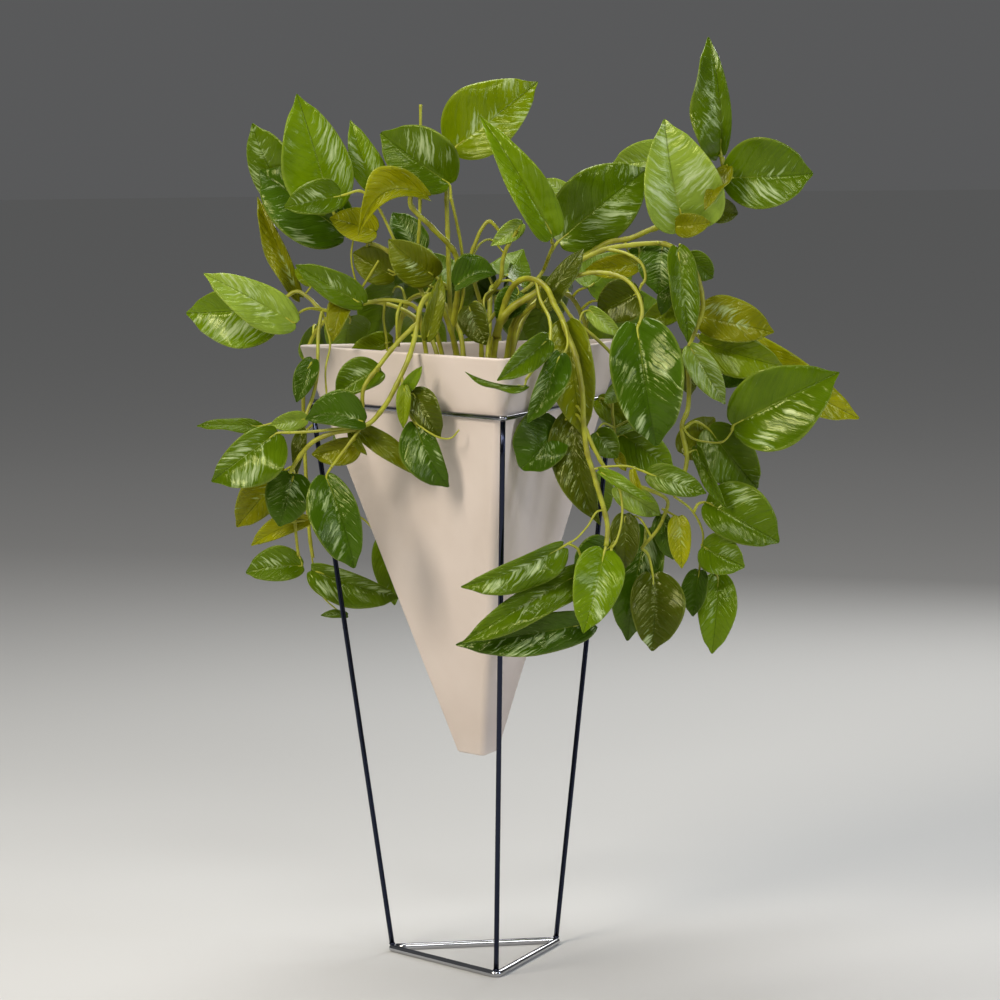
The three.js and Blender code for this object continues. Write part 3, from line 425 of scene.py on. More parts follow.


# %% Stand finish
# Polished steel: a mirror-like metal that takes its look from what surrounds it, with a low roughness that
# wavers over some 17 mm, so that each rod shows a streak of light. It is one steel, given three base colours
# as painted reflection: grey on the upper triangle, pale grey on the base triangle and dark blue-grey on the
# legs.


def polished(name, colour, roughness):
    material, tree, shader = new_material(name)
    place = add(tree, "TexCoord", out=3)
    wear = add(tree, "TexNoise", {"Vector": place, "Scale": 60.0, "Detail": 2.0})
    spread = add(tree, "MapRange", {"Value": wear, "To Min": roughness * 0.8, "To Max": roughness * 1.3})
    tree.links.new(spread, shader.inputs["Roughness"])
    shader.inputs["Metallic"].default_value = 1.0
    shader.inputs["Base Color"].default_value = linear(colour)
    return material


# One steel in three tones of painted reflection: darker upper ring, lighter base ring, dark blue legs.
ring_steel = polished("upper ring steel, painted darker reflection", "8e8f94", 0.1)
base_steel = polished("base ring steel, painted brighter reflection", "b9babd", 0.12)
leg_steel = polished("leg steel, painted blue reflection", "2c3040", 0.2)

BEAD_RISE, BEAD_SIZE, BEAD_SQUASH = 0.6, 1.25, 0.6
triangles = [
    ("upper_ring", "ring_top", ring_steel, (ring_inradius, RING_Z, ROD)),
    ("base_ring", "ring_base", base_steel, (base_inradius, base_z, BASE_ROD)),
]
for name, node, steel, sizes in triangles:
    piece_from(name, [ring_skin(rod_triangle(*sizes))], [steel], [node])
for name, angle in zip(("leg_left", "leg_front", "leg_right"), CORNERS):
    foot, head = leg_ends(angle)
    weld = bead((foot[0], foot[1], foot[2] + BEAD_RISE), ROD * BEAD_SIZE, BEAD_SQUASH)
    skins = [ring_skin(rod_between(foot, head, ROD)), ring_skin(weld)]
    piece_from(name + "_rod", skins, [leg_steel], [name])

# %% [markdown]
# ## The soil
# Potting mix fills the pot and is seen from above and through the stems. The construction model's solid
# has its lumpy top and the holes for the stems, so it stays and only gets a dark crumbly material. Bark
# chips and white perlite grains could be painted on it, but real crumbs catch the light, so they are small
# stones, scattered by a seeded draw and sunk a little.

# %% Soil and crumbs
SOIL_Z = 725.0


def soil_height(x, y):
    """The soil's top in mm: a low mound that falls with the squared distance, and two sine ripples."""
    mound = 6 * (1 - (x * x + y * y) / 110**2)
    return SOIL_Z + mound + 2 * np.sin(x / 9 + 1.3) * np.cos(y / 11) + 1.5 * np.sin((x + y) / 6.1)


# Moist potting mix: dark clods of about 4 mm that swallow the light.
mix, tree, shader = new_material("moist potting mix")
place = add(tree, "TexCoord", out=3)
clod = add(tree, "TexVoronoi", {"Vector": place, "Scale": 260.0})
dark = add(tree, "ValToRGB", {"Fac": clod})
ramp = dark.node.color_ramp
ramp.elements[0].color, ramp.elements[1].color = linear("1d130c"), linear("4a3524")
tree.links.new(dark, shader.inputs["Base Color"])
shader.inputs["Roughness"].default_value = 0.95
bump = add(tree, "Bump", {"Height": clod, "Strength": 0.9, "Distance": 0.002})
tree.links.new(bump, shader.inputs["Normal"])
soil_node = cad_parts["soil"]
soil_node.data.materials.clear()
soil_node.data.materials.append(mix)

CRUMBS = 420
SCATTER = 150
FROM_WALL = 6


def crumbs(seed, count, size, flatness):
    """Small stones: each is an octahedron-like stack of three rings of five points, turned and scaled by
    seeded draws and set on the soil's height with a fifth to a third of it sunk in."""
    draw = np.random.default_rng(seed)
    skins = []
    while len(skins) < count:
        x, y = draw.uniform(-SCATTER, SCATTER, 2)
        reach = np.array([math.cos(a) * x + math.sin(a) * y for a in CORNERS + math.pi])
        if reach.max() > pot_inradius(SOIL_Z) - WALL - FROM_WALL:
            continue
        half = size * draw.uniform(0.5, 1.2)
        across, along = circle(5, draw.uniform(0, 6))
        width = np.array([0.7, 1.0, 0.6])[:, None] * draw.uniform(0.8, 1.2, (3, 5))
        rise = np.array([-0.6, 0.1, 0.7])[:, None] * flatness + 0 * across
        stone = np.stack([width * across * draw.uniform(0.8, 1.5), width * along, rise], -1) * half
        skins.append(ring_skin((stone + [x, y, soil_height(x, y) + 0.2 * half]) * MM + AXIS))
    return skins


# Bark chips are dry brown wood, and perlite is a dull white glass foam: both are rough.
stones = [
    ("bark_crumbs", "bark chips", "5a3b22", 0.9, (3, CRUMBS, 4.5, 0.6)),
    ("perlite_grains", "perlite grains", "d8d4c8", 0.8, (8, CRUMBS // 4, 2.4, 0.9)),
]
for name, material_name, colour, roughness, sizes in stones:
    stone_material, _, shader = new_material(material_name)
    shader.inputs["Base Color"].default_value = linear(colour)
    shader.inputs["Roughness"].default_value = roughness
    piece_from(name, crumbs(*sizes), [stone_material])

# %% [markdown]
# ## The shape of a pothos leaf
# A pothos blade is heart-shaped with a short drip tip. It folds up a little along the midrib, bows from
# base to tip, and its soft tissue stands up between sunken side veins. A picture on a flat card would lose
# the gleams, so the blade is a formula of two shares: s from the lobes to the tip, v from edge to edge.

# %% Pale marbling and painted highlight
# Golden pothos is marbled with cream and pale green. The blots are also set where the leaves gleam, so they
# are partly painted highlight. Each blot has its place across the blade (1 is its left edge looking to the
# tip), its place along it and its size, under the leaf's number in the lists.
PALE_AND_GLEAM_BLOTS = {
    0: [(-0.5, 0.5, 0.42), (-0.7, 0.25, 0.3)], 1: [(0.75, 0.4, 0.4), (0.1, 0.75, 0.3)],
    2: [(-0.5, 0.5, 0.4), (0.85, 0.25, 0.25)], 3: [(-0.3, 0.5, 0.4)],
    4: [(0.35, 0.5, 0.42), (-0.4, 0.35, 0.4)], 8: [(-0.4, 0.5, 0.38), (-0.6, 0.2, 0.25)],
    9: [(-0.7, 0.75, 0.35), (0.0, 0.3, 0.28), (0.5, 0.85, 0.3)], 10: [(0.0, 0.4, 0.5)],
    11: [(0.2, 0.4, 0.3)], 13: [(-0.4, 0.42, 0.38), (0.2, 0.9, 0.2), (0.2, 0.05, 0.25)],
    14: [(0.0, 0.5, 0.7)], 15: [(0.0, 0.5, 0.7)], 17: [(0.1, 0.4, 0.4)], 18: [(-0.2, 0.3, 0.3)],
    19: [(0.9, 0.7, 0.3), (-0.2, 0.88, 0.25), (0.35, 0.32, 0.3)],
    20: [(0.45, 0.35, 0.5), (-0.5, 0.4, 0.5), (0.1, 0.85, 0.35)], 21: [(0.2, 0.5, 0.7)],
    25: [(-0.5, 0.35, 0.45), (0.1, 0.5, 0.2)], 28: [(0.1, 0.4, 0.5)], 30: [(0.3, 0.6, 0.4)],
    34: [(0.4, 0.25, 0.35), (0.0, 0.55, 0.25)], 37: [(0.6, 0.5, 0.7), (-0.5, 0.4, 0.7), (0.0, 0.85, 0.4)],
    40: [(-0.3, 0.55, 0.2), (-0.6, 0.22, 0.22)],
    38: [(0.2, 0.5, 0.3)], 44: [(0.6, 0.35, 0.28)], 45: [(0.3, 0.5, 0.34)], 47: [(-0.3, 0.4, 0.2)],
    48: [(0.5, 0.4, 0.16), (-0.3, 0.88, 0.26), (-0.8, 0.7, 0.2), (0.85, 0.78, 0.22)],
    50: [(0.0, 0.5, 0.6)], 52: [(0.0, 0.5, 0.7)], 53: [(0.2, 0.5, 0.4)], 54: [(0.2, 0.5, 0.3)],
    55: [(0.0, 0.5, 0.7)], 57: [(0.1, 0.45, 0.4), (0.4, 0.75, 0.3)], 58: [(0.0, 0.4, 0.2)],
    59: [(0.3, 0.4, 0.35), (0.8, 0.6, 0.3)], 60: [(0.1, 0.35, 0.45), (0.3, 0.7, 0.3)],
    61: [(-0.5, 0.5, 0.25)], 62: [(-0.4, 0.6, 0.4)], 64: [(0.0, 0.5, 0.5)], 65: [(0.3, 0.4, 0.2)],
    67: [(0.0, 0.5, 0.5)], 68: [(0.25, 0.5, 0.45), (-0.4, 0.45, 0.4)], 69: [(-0.3, 0.3, 0.4)],
    72: [(0.3, 0.2, 0.35)], 73: [(-0.2, 0.9, 0.25)], 75: [(0.1, 0.3, 0.3)],
    77: [(0.5, 0.5, 0.5), (0.2, 0.8, 0.25)], 78: [(-0.3, 0.55, 0.5), (0.3, 0.4, 0.3)],
    79: [(0.0, 0.25, 0.3)],
    80: [(-0.2, 0.4, 0.3)], 84: [(0.2, 0.5, 0.5)], 88: [(0.2, 0.3, 0.3)], 90: [(-0.2, 0.5, 0.35)],
    92: [(-0.3, 0.35, 0.35)], 93: [(0.0, 0.2, 0.2)], 94: [(-0.4, 0.5, 0.45), (0.5, 0.6, 0.4)],
    95: [(-0.35, 0.62, 0.28), (-0.3, 0.25, 0.2)], 99: [(0.6, 0.5, 0.2), (-0.2, 0.4, 0.24)],
    100: [(-0.2, 0.25, 0.2)], 104: [(0.6, 0.3, 0.4), (-0.6, 0.12, 0.3), (0.2, 0.75, 0.3)],
    106: [(0.0, 0.5, 0.5)],
}

# %% Leaf shape
LOBE = 0.1
OUTLINE = (0.44, 0.74)
BLADE_THICKNESS = 0.45
VEINS = 8


def spread(i, step):
    return (i * step) % 1


def half_width(s, base_power, tip_power):
    """The blade's half width as a share of its widest: a low power of s gives the round base, a high one of
    1 - s the pointed end, and the last part is drawn in a little to make the drip tip."""
    peak = base_power / (base_power + tip_power)
    top = peak**base_power * (1 - peak) ** tip_power
    late = np.clip((s - 0.84) / 0.12, 0, 1)
    return s**base_power * (1 - s) ** tip_power / top * (1 - 0.3 * late**2 * (3 - 2 * late))


def leaf_from(row, i):
    """A leaf's own directions: along runs from base to tip, the normal is the way to the eye made square to
    it and turned about it, and across is square to both. Lengths in metres. The last item of a row can set
    the outline's powers, the lobes, the fold and bow, how much wider the left half is than the right one
    (skew) and how far the midrib bends sideways as a share of the length (sway)."""
    base, tip = seen([row[0:3], row[3:6]])
    width, turn, tone = row[6:9]
    more = row[9] if len(row) > 9 else {}
    along = tip - base
    length = np.linalg.norm(along)
    along = along / length
    facing = EYE - base
    facing = facing - along * facing.dot(along)
    facing /= np.linalg.norm(facing)
    angle = math.radians(turn)
    normal = facing * math.cos(angle) + np.cross(along, facing) * math.sin(angle)
    leaf = {
        "base": base, "tip": tip, "along": along, "normal": normal, "across": np.cross(normal, along),
        "length": length, "half": width / 2 * MM, "tone": tone, "seed": i,
        "fold": math.tan(math.radians(12 + 14 * spread(i, 0.618))), "bow": 0.05 + 0.08 * spread(i, 0.414),
        "phase": 6.283 * spread(i, 0.732), "gold": 0.25 + 0.75 * spread(i, 0.377),
        "shape": OUTLINE, "lobe": LOBE, "skew": 0.0, "sway": 0.0,
    }
    leaf.update(more)
    return leaf


def blade_place(leaf, s, v):
    """Shares of the blade to x, y, the way sideways and the height. x is v times the half width, more on
    the wider half; y runs along with the lobes drawn back beside the base; sideways adds the sway times
    y (1 - y); the height is the fold times |x|, the bow y (1 - y) and a wave that grows to the edge."""
    x = v * half_width(s, *leaf["shape"])
    wide = x * (1 + leaf["skew"] * np.sign(v))
    lobe = leaf["lobe"]
    notch = lobe * np.clip(1 - np.abs(wide) / 0.3, 0, 1) ** 2 * np.clip(1 - s / 0.3, 0, 1)
    y = -lobe + s * (1 + lobe) + notch
    arch = leaf["length"] * 4 * y * (1 - y)
    wave = 0.045 * leaf["length"] * np.sin(9 * s + leaf["phase"] + 1.2 * v) * wide * wide
    height = np.abs(wide) * leaf["half"] * leaf["fold"] + leaf["bow"] * arch + wave
    return x, y, wide * leaf["half"] + leaf["sway"] * arch, height


def vein_phase(x, y):
    """Whole numbers on the side veins, which leave the midrib forward and curve towards the tip."""
    return VEINS * (y - 0.22 * np.abs(x) - 0.16 * x * x)


def blade_skin(leaf):
    """The blade as one skin: each ring runs back along the upper face from edge to edge and forth along the
    lower one. The upper face rises between the veins and sinks at the midrib, which stands out below."""
    length_mm = leaf["length"] / MM
    rows = int(np.clip(length_mm * 0.5, 16, 66))
    columns = int(np.clip(leaf["half"] / MM * 0.42, 9, 21)) | 1
    turn = np.linspace(0, math.pi, rows + 2)[1:-1]
    s = (0.5 - 0.5 * np.cos(turn)) * 0.75 + turn / math.pi * 0.25
    v = np.sin(np.linspace(math.pi / 2, -math.pi / 2, columns)) * 0.4 + np.linspace(1, -1, columns) * 0.6
    s, v = s[:, None], v[None, :]
    x, y, sideways, height = blade_place(leaf, s, v)
    rim = np.abs(v) + 0 * s
    inner = 1 - np.clip((rim - 0.75) / 0.25, 0, 1) ** 2
    shift = 0.22 * np.sin(2.3 * vein_phase(x, y) + leaf["seed"]) + 0.12 * np.sin(9 * x + 2 * leaf["seed"])
    quilt = np.abs(np.sin(math.pi * (vein_phase(x, y) + shift))) ** 0.6
    away = np.clip(np.abs(x) / 0.15, 0, 1) * np.clip((1 - y) / 0.15, 0, 1)
    swell = 0.015 * leaf["length"] * quilt * inner * away
    across_mm = np.abs(x) * leaf["half"] / MM
    groove = np.exp(-((across_mm / 1.3) ** 2)) * np.clip((0.95 - y) / 0.5, 0, 1)
    upper = height + swell - 0.5 * MM * groove
    lower = height + 0.6 * swell - BLADE_THICKNESS * MM - 0.9 * MM * groove

    def both(values):
        return np.concatenate([values, values[:, ::-1]], 1)

    def face(rise):
        place = leaf["base"] + sideways[..., None] * leaf["across"]
        return place + (y * leaf["length"])[..., None] * leaf["along"] + rise[..., None] * leaf["normal"]

    rings = np.concatenate([face(upper), face(lower)[:, ::-1]], 1)
    under = np.concatenate([0 * rim, 0 * rim + 1], 1)
    blade = np.stack([both(x), both(y), both(rim)], -1)
    # The pale share: each leaf's own amount of marbling, raised in its blots, which are partly painted
    # highlight where the leaves gleam.
    pale = 0 * under + 0.25 * leaf["gold"]
    for middle, along, size in PALE_AND_GLEAM_BLOTS.get(leaf["seed"], ()):
        apart = ((blade[..., 0] - middle) / size) ** 2 + ((blade[..., 1] - along) / (0.8 * size)) ** 2
        pale = np.maximum(pale, np.exp(-0.8 * apart))
    facts = np.stack([0 * under + leaf["seed"] % 17, pale, under], -1)
    tone = np.array(TONES[leaf["tone"]])[None, None, :]
    return ring_skin(rings, blade=blade, leaf=facts, tone=tone)


# %% [markdown]
# ## Stems and petioles
# Stems are round, a little thicker at each joint, and bend from joint to joint. A curve with a bevel would
# do, but a skin carried along a smooth line can swell at the joints and carry its length for the colour.

# %% Stem shape
STEP = 3.2
JOINT_EVERY = 38.0


def smooth_line(points, step=STEP):
    """A centripetal Catmull-Rom line: cubic pieces through the points, whose end slopes come from the
    neighbours, spaced by the square root of the distances. It is cut again at even lengths in mm."""
    p = np.asarray(points, float)
    p = np.concatenate([[2 * p[0] - p[1]], p, [2 * p[-1] - p[-2]]])
    gap = np.sqrt(np.linalg.norm(np.diff(p, axis=0), axis=1))[:, None]
    gap = np.maximum(gap, 1e-6)
    a, b, c, d = p[:-3], p[1:-2], p[2:-1], p[3:]
    before, here, after = gap[:-2], gap[1:-1], gap[2:]
    start = ((b - a) / before - (c - a) / (before + here) + (c - b) / here) * here
    end = ((c - b) / here - (d - b) / (here + after) + (d - c) / after) * here
    t = np.linspace(0, 1, 13)[:-1][None, :, None]
    b, c, start, end = (q[:, None, :] for q in (b, c, start, end))
    cubic = (2 * b - 2 * c + start + end) * t**3 + (3 * c - 3 * b - 2 * start - end) * t**2 + start * t + b
    line = np.concatenate([cubic.reshape(-1, 3), p[-2:-1]])
    length = np.concatenate([[0], np.cumsum(np.linalg.norm(np.diff(line, axis=0), axis=1))])
    even = np.linspace(0, length[-1], max(4, int(length[-1] / MM / step) + 1))
    return np.stack([np.interp(even, length, line[:, k]) for k in range(3)], 1), even / MM


def carried_frames(line):
    """Two ways square to the line at each place. The first is carried along: at each step it is laid square
    to the new direction, so the skin doesn't twist."""
    way = np.gradient(line, axis=0)
    way /= np.linalg.norm(way, axis=1)[:, None]
    first = np.empty_like(line)
    side = np.cross(way[0], [0.31, 0.52, 0.79])
    for k, along in enumerate(way):
        side = side - along * side.dot(along)
        side /= np.linalg.norm(side)
        first[k] = side
    return first, np.cross(way, first)


def stem_skin(points, radius, end_radius=None, around=10, age=0.5, seed=0, swell=0.22):
    """A circle carried along the smooth line. Its radius runs from one end's to the other's and swells at
    each joint as a narrow bell of the distance to it."""
    line, length = smooth_line(points)
    one, two = carried_frames(line)
    share = np.linspace(0, 1, len(line))
    to_joint = np.abs((length + 11.0 * seed) % JOINT_EVERY - JOINT_EVERY / 2)
    size = radius + ((end_radius or radius) - radius) * share
    size = size * (1 + swell * np.exp(-((to_joint / 2.6) ** 2)))
    across, along = circle(around)
    ring = across[None, :, None] * one[:, None] + along[None, :, None] * two[:, None]
    rings = line[:, None] + ring * (size * MM)[:, None, None]
    facts = np.stack([length, np.exp(-((to_joint / 3.0) ** 2)), age + 0 * share], -1)[:, None, :]
    return ring_skin(rings, stalk=facts) | {"material": 1}


def petiole_skin(leaf, line_points):
    """From the nearest place of the stems: out with a bow up, then straight into the blade and a little way
    under its midrib. It starts as a sheath and gets thinner."""
    base, along, normal, length = (leaf[key] for key in ("base", "along", "normal", "length"))
    start = line_points[np.argmin(np.linalg.norm(line_points - base, axis=1))]
    gap = np.linalg.norm(start - base)
    radius = 1.15 + 0.008 * leaf["half"] * 2 / MM
    into = base + along * 0.1 * length + normal * (leaf["bow"] * length * 0.36 - 1.1 * MM)
    middle = (start + base) / 2 - along * 0.14 * gap + np.array([0, 0, 0.16 * gap])
    points = [start, middle, base - normal * 0.6 * MM, into]
    if gap < 0.02 and gap < 0.4 * length:
        points = [start - (base - start) * 0.3, base - normal * 0.6 * MM, into]
    return stem_skin(points, radius * 1.15, radius * 0.75, around=8, age=0.15, seed=leaf["seed"], swell=0.0)


# %% [markdown]
# ## Leaf and stem finishes
# A leaf is waxy tissue over green: each leaf has its own tone, lighter fine veins, side veins and a midrib
# drawn darker, partly as painted shade in their sunken grooves, pale streaks and blots along the side veins
# that are marbling and partly painted highlight, a thin pale margin and a paler back. The pattern reads the
# leaf's own shares x and y, so it follows the blade however that is bent. The stems are yellow-green, with
# browner joints and older bases.

# %% Leaf finish
# Living pothos leaf: a smooth wax skin over soft tissue, so its gleams are bright, a little soft and a
# little green. The noises shake and cloud have grains of some 26 and 42 mm. Streaks and swells are counted
# in side veins, eight to a blade, so they follow the veins: streaks colour it as pale marbling that is
# partly painted highlight, swells give broad gleams.
leaf_wax, tree, shader = new_material("waxy pothos leaf")
blade = add(tree, "Attribute", out="Vector", attribute_name="blade")
leaf_facts = add(tree, "Attribute", out="Vector", attribute_name="leaf")
tone = add(tree, "Attribute", out="Color", attribute_name="tone")
object_place = add(tree, "TexCoord", out=3)
blade_parts = add(tree, "SeparateXYZ", {0: blade}).node.outputs
fact_parts = add(tree, "SeparateXYZ", {0: leaf_facts}).node.outputs


def maths(tree, operation, *values, clamp=False):
    return add(tree, "Math", dict(enumerate(values)), operation=operation, use_clamp=clamp)


def blend(tree, share, first, second, mode="MIX"):
    """Mixes two colours by a share."""
    return add(tree, "Mix", {0: share, 6: first, 7: second}, out=2, data_type="RGBA", blend_type=mode)


def ramp_between(tree, value, low, high, start=0.0, end=1.0):
    """A smooth step of a value from one number to another between two bounds."""
    inputs = {"Value": value, "From Min": low, "From Max": high, "To Min": start, "To Max": end}
    return add(tree, "MapRange", inputs, interpolation_type="SMOOTHSTEP")


across = maths(tree, "ABSOLUTE", blade_parts[0])
bend = maths(tree, "MULTIPLY_ADD", maths(tree, "MULTIPLY", across, across), -0.16 * VEINS, 0.0)
lean = maths(tree, "MULTIPLY_ADD", across, -0.22 * VEINS, bend)
phase = maths(tree, "MULTIPLY_ADD", blade_parts[1], float(VEINS), lean)
shake = add(tree, "TexNoise", {"Vector": object_place, "Scale": 38.0, "Detail": 2.0})
phase = maths(tree, "ADD", phase, maths(tree, "MULTIPLY_ADD", shake, 0.9, -0.45))
to_vein = maths(tree, "PINGPONG", phase, 0.5)
vein = ramp_between(tree, to_vein, 0.0, 0.24, 1.0, 0.0)
to_fine_vein = maths(tree, "PINGPONG", maths(tree, "MULTIPLY", phase, 5.0), 0.5)
fine = ramp_between(tree, to_fine_vein, 0.0, 0.3, 1.0, 0.0)
rib = ramp_between(tree, across, 0.004, 0.026, 1.0, 0.0)

sideways = maths(tree, "MULTIPLY", blade_parts[0], 0.6)
along_vein = add(tree, "CombineXYZ", {0: phase, 1: sideways, 2: fact_parts[0]})
streaks = add(tree, "TexNoise", {"Vector": along_vein, "Scale": 2.8, "Detail": 5.0, "Roughness": 0.62})
swells = add(tree, "TexNoise", {"Vector": along_vein, "Scale": 2.0, "Detail": 1.0})
cloud = add(tree, "TexNoise", {"Vector": object_place, "Scale": 24.0, "Detail": 3.0})
# Pale marbling along the side veins and in each leaf's blots: golden pothos marbling, also set where the
# leaves gleam, so partly painted highlight.
marble_and_gleam = maths(tree, "MULTIPLY_ADD", streaks, 1.5, maths(tree, "MULTIPLY", fact_parts[1], 0.4))
pale = ramp_between(tree, marble_and_gleam, 1.02, 1.14)

deep_tone = blend(tree, 0.35, tone, linear("9fb08a"), "MULTIPLY")
colour = blend(tree, ramp_between(tree, cloud, 0.36, 0.62), deep_tone, tone)
colour = blend(tree, maths(tree, "MULTIPLY", fine, 0.05), colour, linear("7d9a10"))
# Side veins drawn towards a darker green: partly painted shade in their sunken creases.
colour = blend(tree, maths(tree, "MULTIPLY", vein, 0.1), colour, linear("3f6206"))
# The marbling's pale green and its whitish core, partly painted highlight.
colour = blend(tree, maths(tree, "MULTIPLY", pale, 0.5), colour, linear("a6bb7c"))
marble_and_gleam_core = ramp_between(tree, marble_and_gleam, 1.14, 1.3)
colour = blend(tree, maths(tree, "MULTIPLY", marble_and_gleam_core, 0.5), colour, linear("c9d8a6"))
# The midrib: light green near the base, darker towards the tip, partly its own darker green and partly
# painted shade in its groove.
rib_colour_with_painted_groove_shade = blend(tree, ramp_between(tree, blade_parts[1], 0.1, 0.6), linear("8a9830"), linear("2c4206"))
colour = blend(tree, maths(tree, "MULTIPLY", rib, 0.45), colour, rib_colour_with_painted_groove_shade)
margin = ramp_between(tree, blade_parts[2], 0.9, 0.995)
colour = blend(tree, maths(tree, "MULTIPLY", margin, 0.26), colour, linear("a3b24a"))
pale_back = blend(tree, 0.3, colour, linear("7f9a1c"))
colour = blend(tree, fact_parts[2], colour, pale_back)
tree.links.new(colour, shader.inputs["Base Color"])
gloss = ramp_between(tree, cloud, 0.3, 0.7, 0.14, 0.22)
gloss = maths(tree, "MULTIPLY_ADD", fact_parts[2], 0.2, gloss)
tree.links.new(gloss, shader.inputs["Roughness"])
shader.inputs["Specular IOR Level"].default_value = 0.34
shader.inputs["Specular Tint"].default_value = linear("ecf4a4")
shader.inputs["Coat Weight"].default_value = 0.04
shader.inputs["Coat Roughness"].default_value = 0.08
relief = maths(tree, "MULTIPLY_ADD", vein, -0.35, maths(tree, "MULTIPLY", fine, -0.1))
relief = maths(tree, "MULTIPLY_ADD", rib, -0.5, relief)
relief = maths(tree, "MULTIPLY_ADD", streaks, 0.5, relief)
relief = maths(tree, "MULTIPLY_ADD", swells, 1.3, relief)
bump = add(tree, "Bump", {"Height": relief, "Strength": 0.7, "Distance": 0.0011})
tree.links.new(bump, shader.inputs["Normal"])

# %% Stem finish
# Pothos stem: smooth green bark, a satin surface that browns at the joints and, in patches of some 18 mm,
# towards the old base.
stem_bark, tree, shader = new_material("green pothos stem")
stalk = add(tree, "Attribute", out="Vector", attribute_name="stalk")
stalk_parts = add(tree, "SeparateXYZ", {0: stalk}).node.outputs
object_place = add(tree, "TexCoord", out=3)
patch = add(tree, "TexNoise", {"Vector": object_place, "Scale": 55.0, "Detail": 3.0})
old = maths(tree, "MULTIPLY", stalk_parts[2], ramp_between(tree, patch, 0.3, 0.7), clamp=True)
colour = blend(tree, old, linear("a4a828"), linear("7d7a14"))
colour = blend(tree, maths(tree, "MULTIPLY", stalk_parts[1], 0.22), colour, linear("6f6a1c"))
tree.links.new(colour, shader.inputs["Base Color"])
shader.inputs["Roughness"].default_value = 0.42
shader.inputs["Specular IOR Level"].default_value = 0.45
bump = add(tree, "Bump", {"Height": patch, "Strength": 0.4, "Distance": 0.0006})
tree.links.new(bump, shader.inputs["Normal"])

# %% [markdown]
# ## The plant
# Each leafy stem has its own lists: its place in the soil, its stems as radius and places, and its leaves
# as joint, tip, width, turn, tone and what sets their outline apart. Stems could be grown by chance rules,
# but then the plant would be another one, so all places were chosen from the front, with a depth for each.
# Only the back stems are a rule: leaves in turn to the left and right, smaller towards the end.

# %% Tones
LEAF_COLOURS = {
    "deep": "385504", "mid": "4f6802", "lime": "678306", "fresh": "708302", "olive": "626a04",
    "dim": "434c04", "amber": "747604", "yellow": "949502", "pale": "869e34",
}
TONES = {name: linear(colour)[:3] for name, colour in LEAF_COLOURS.items()}

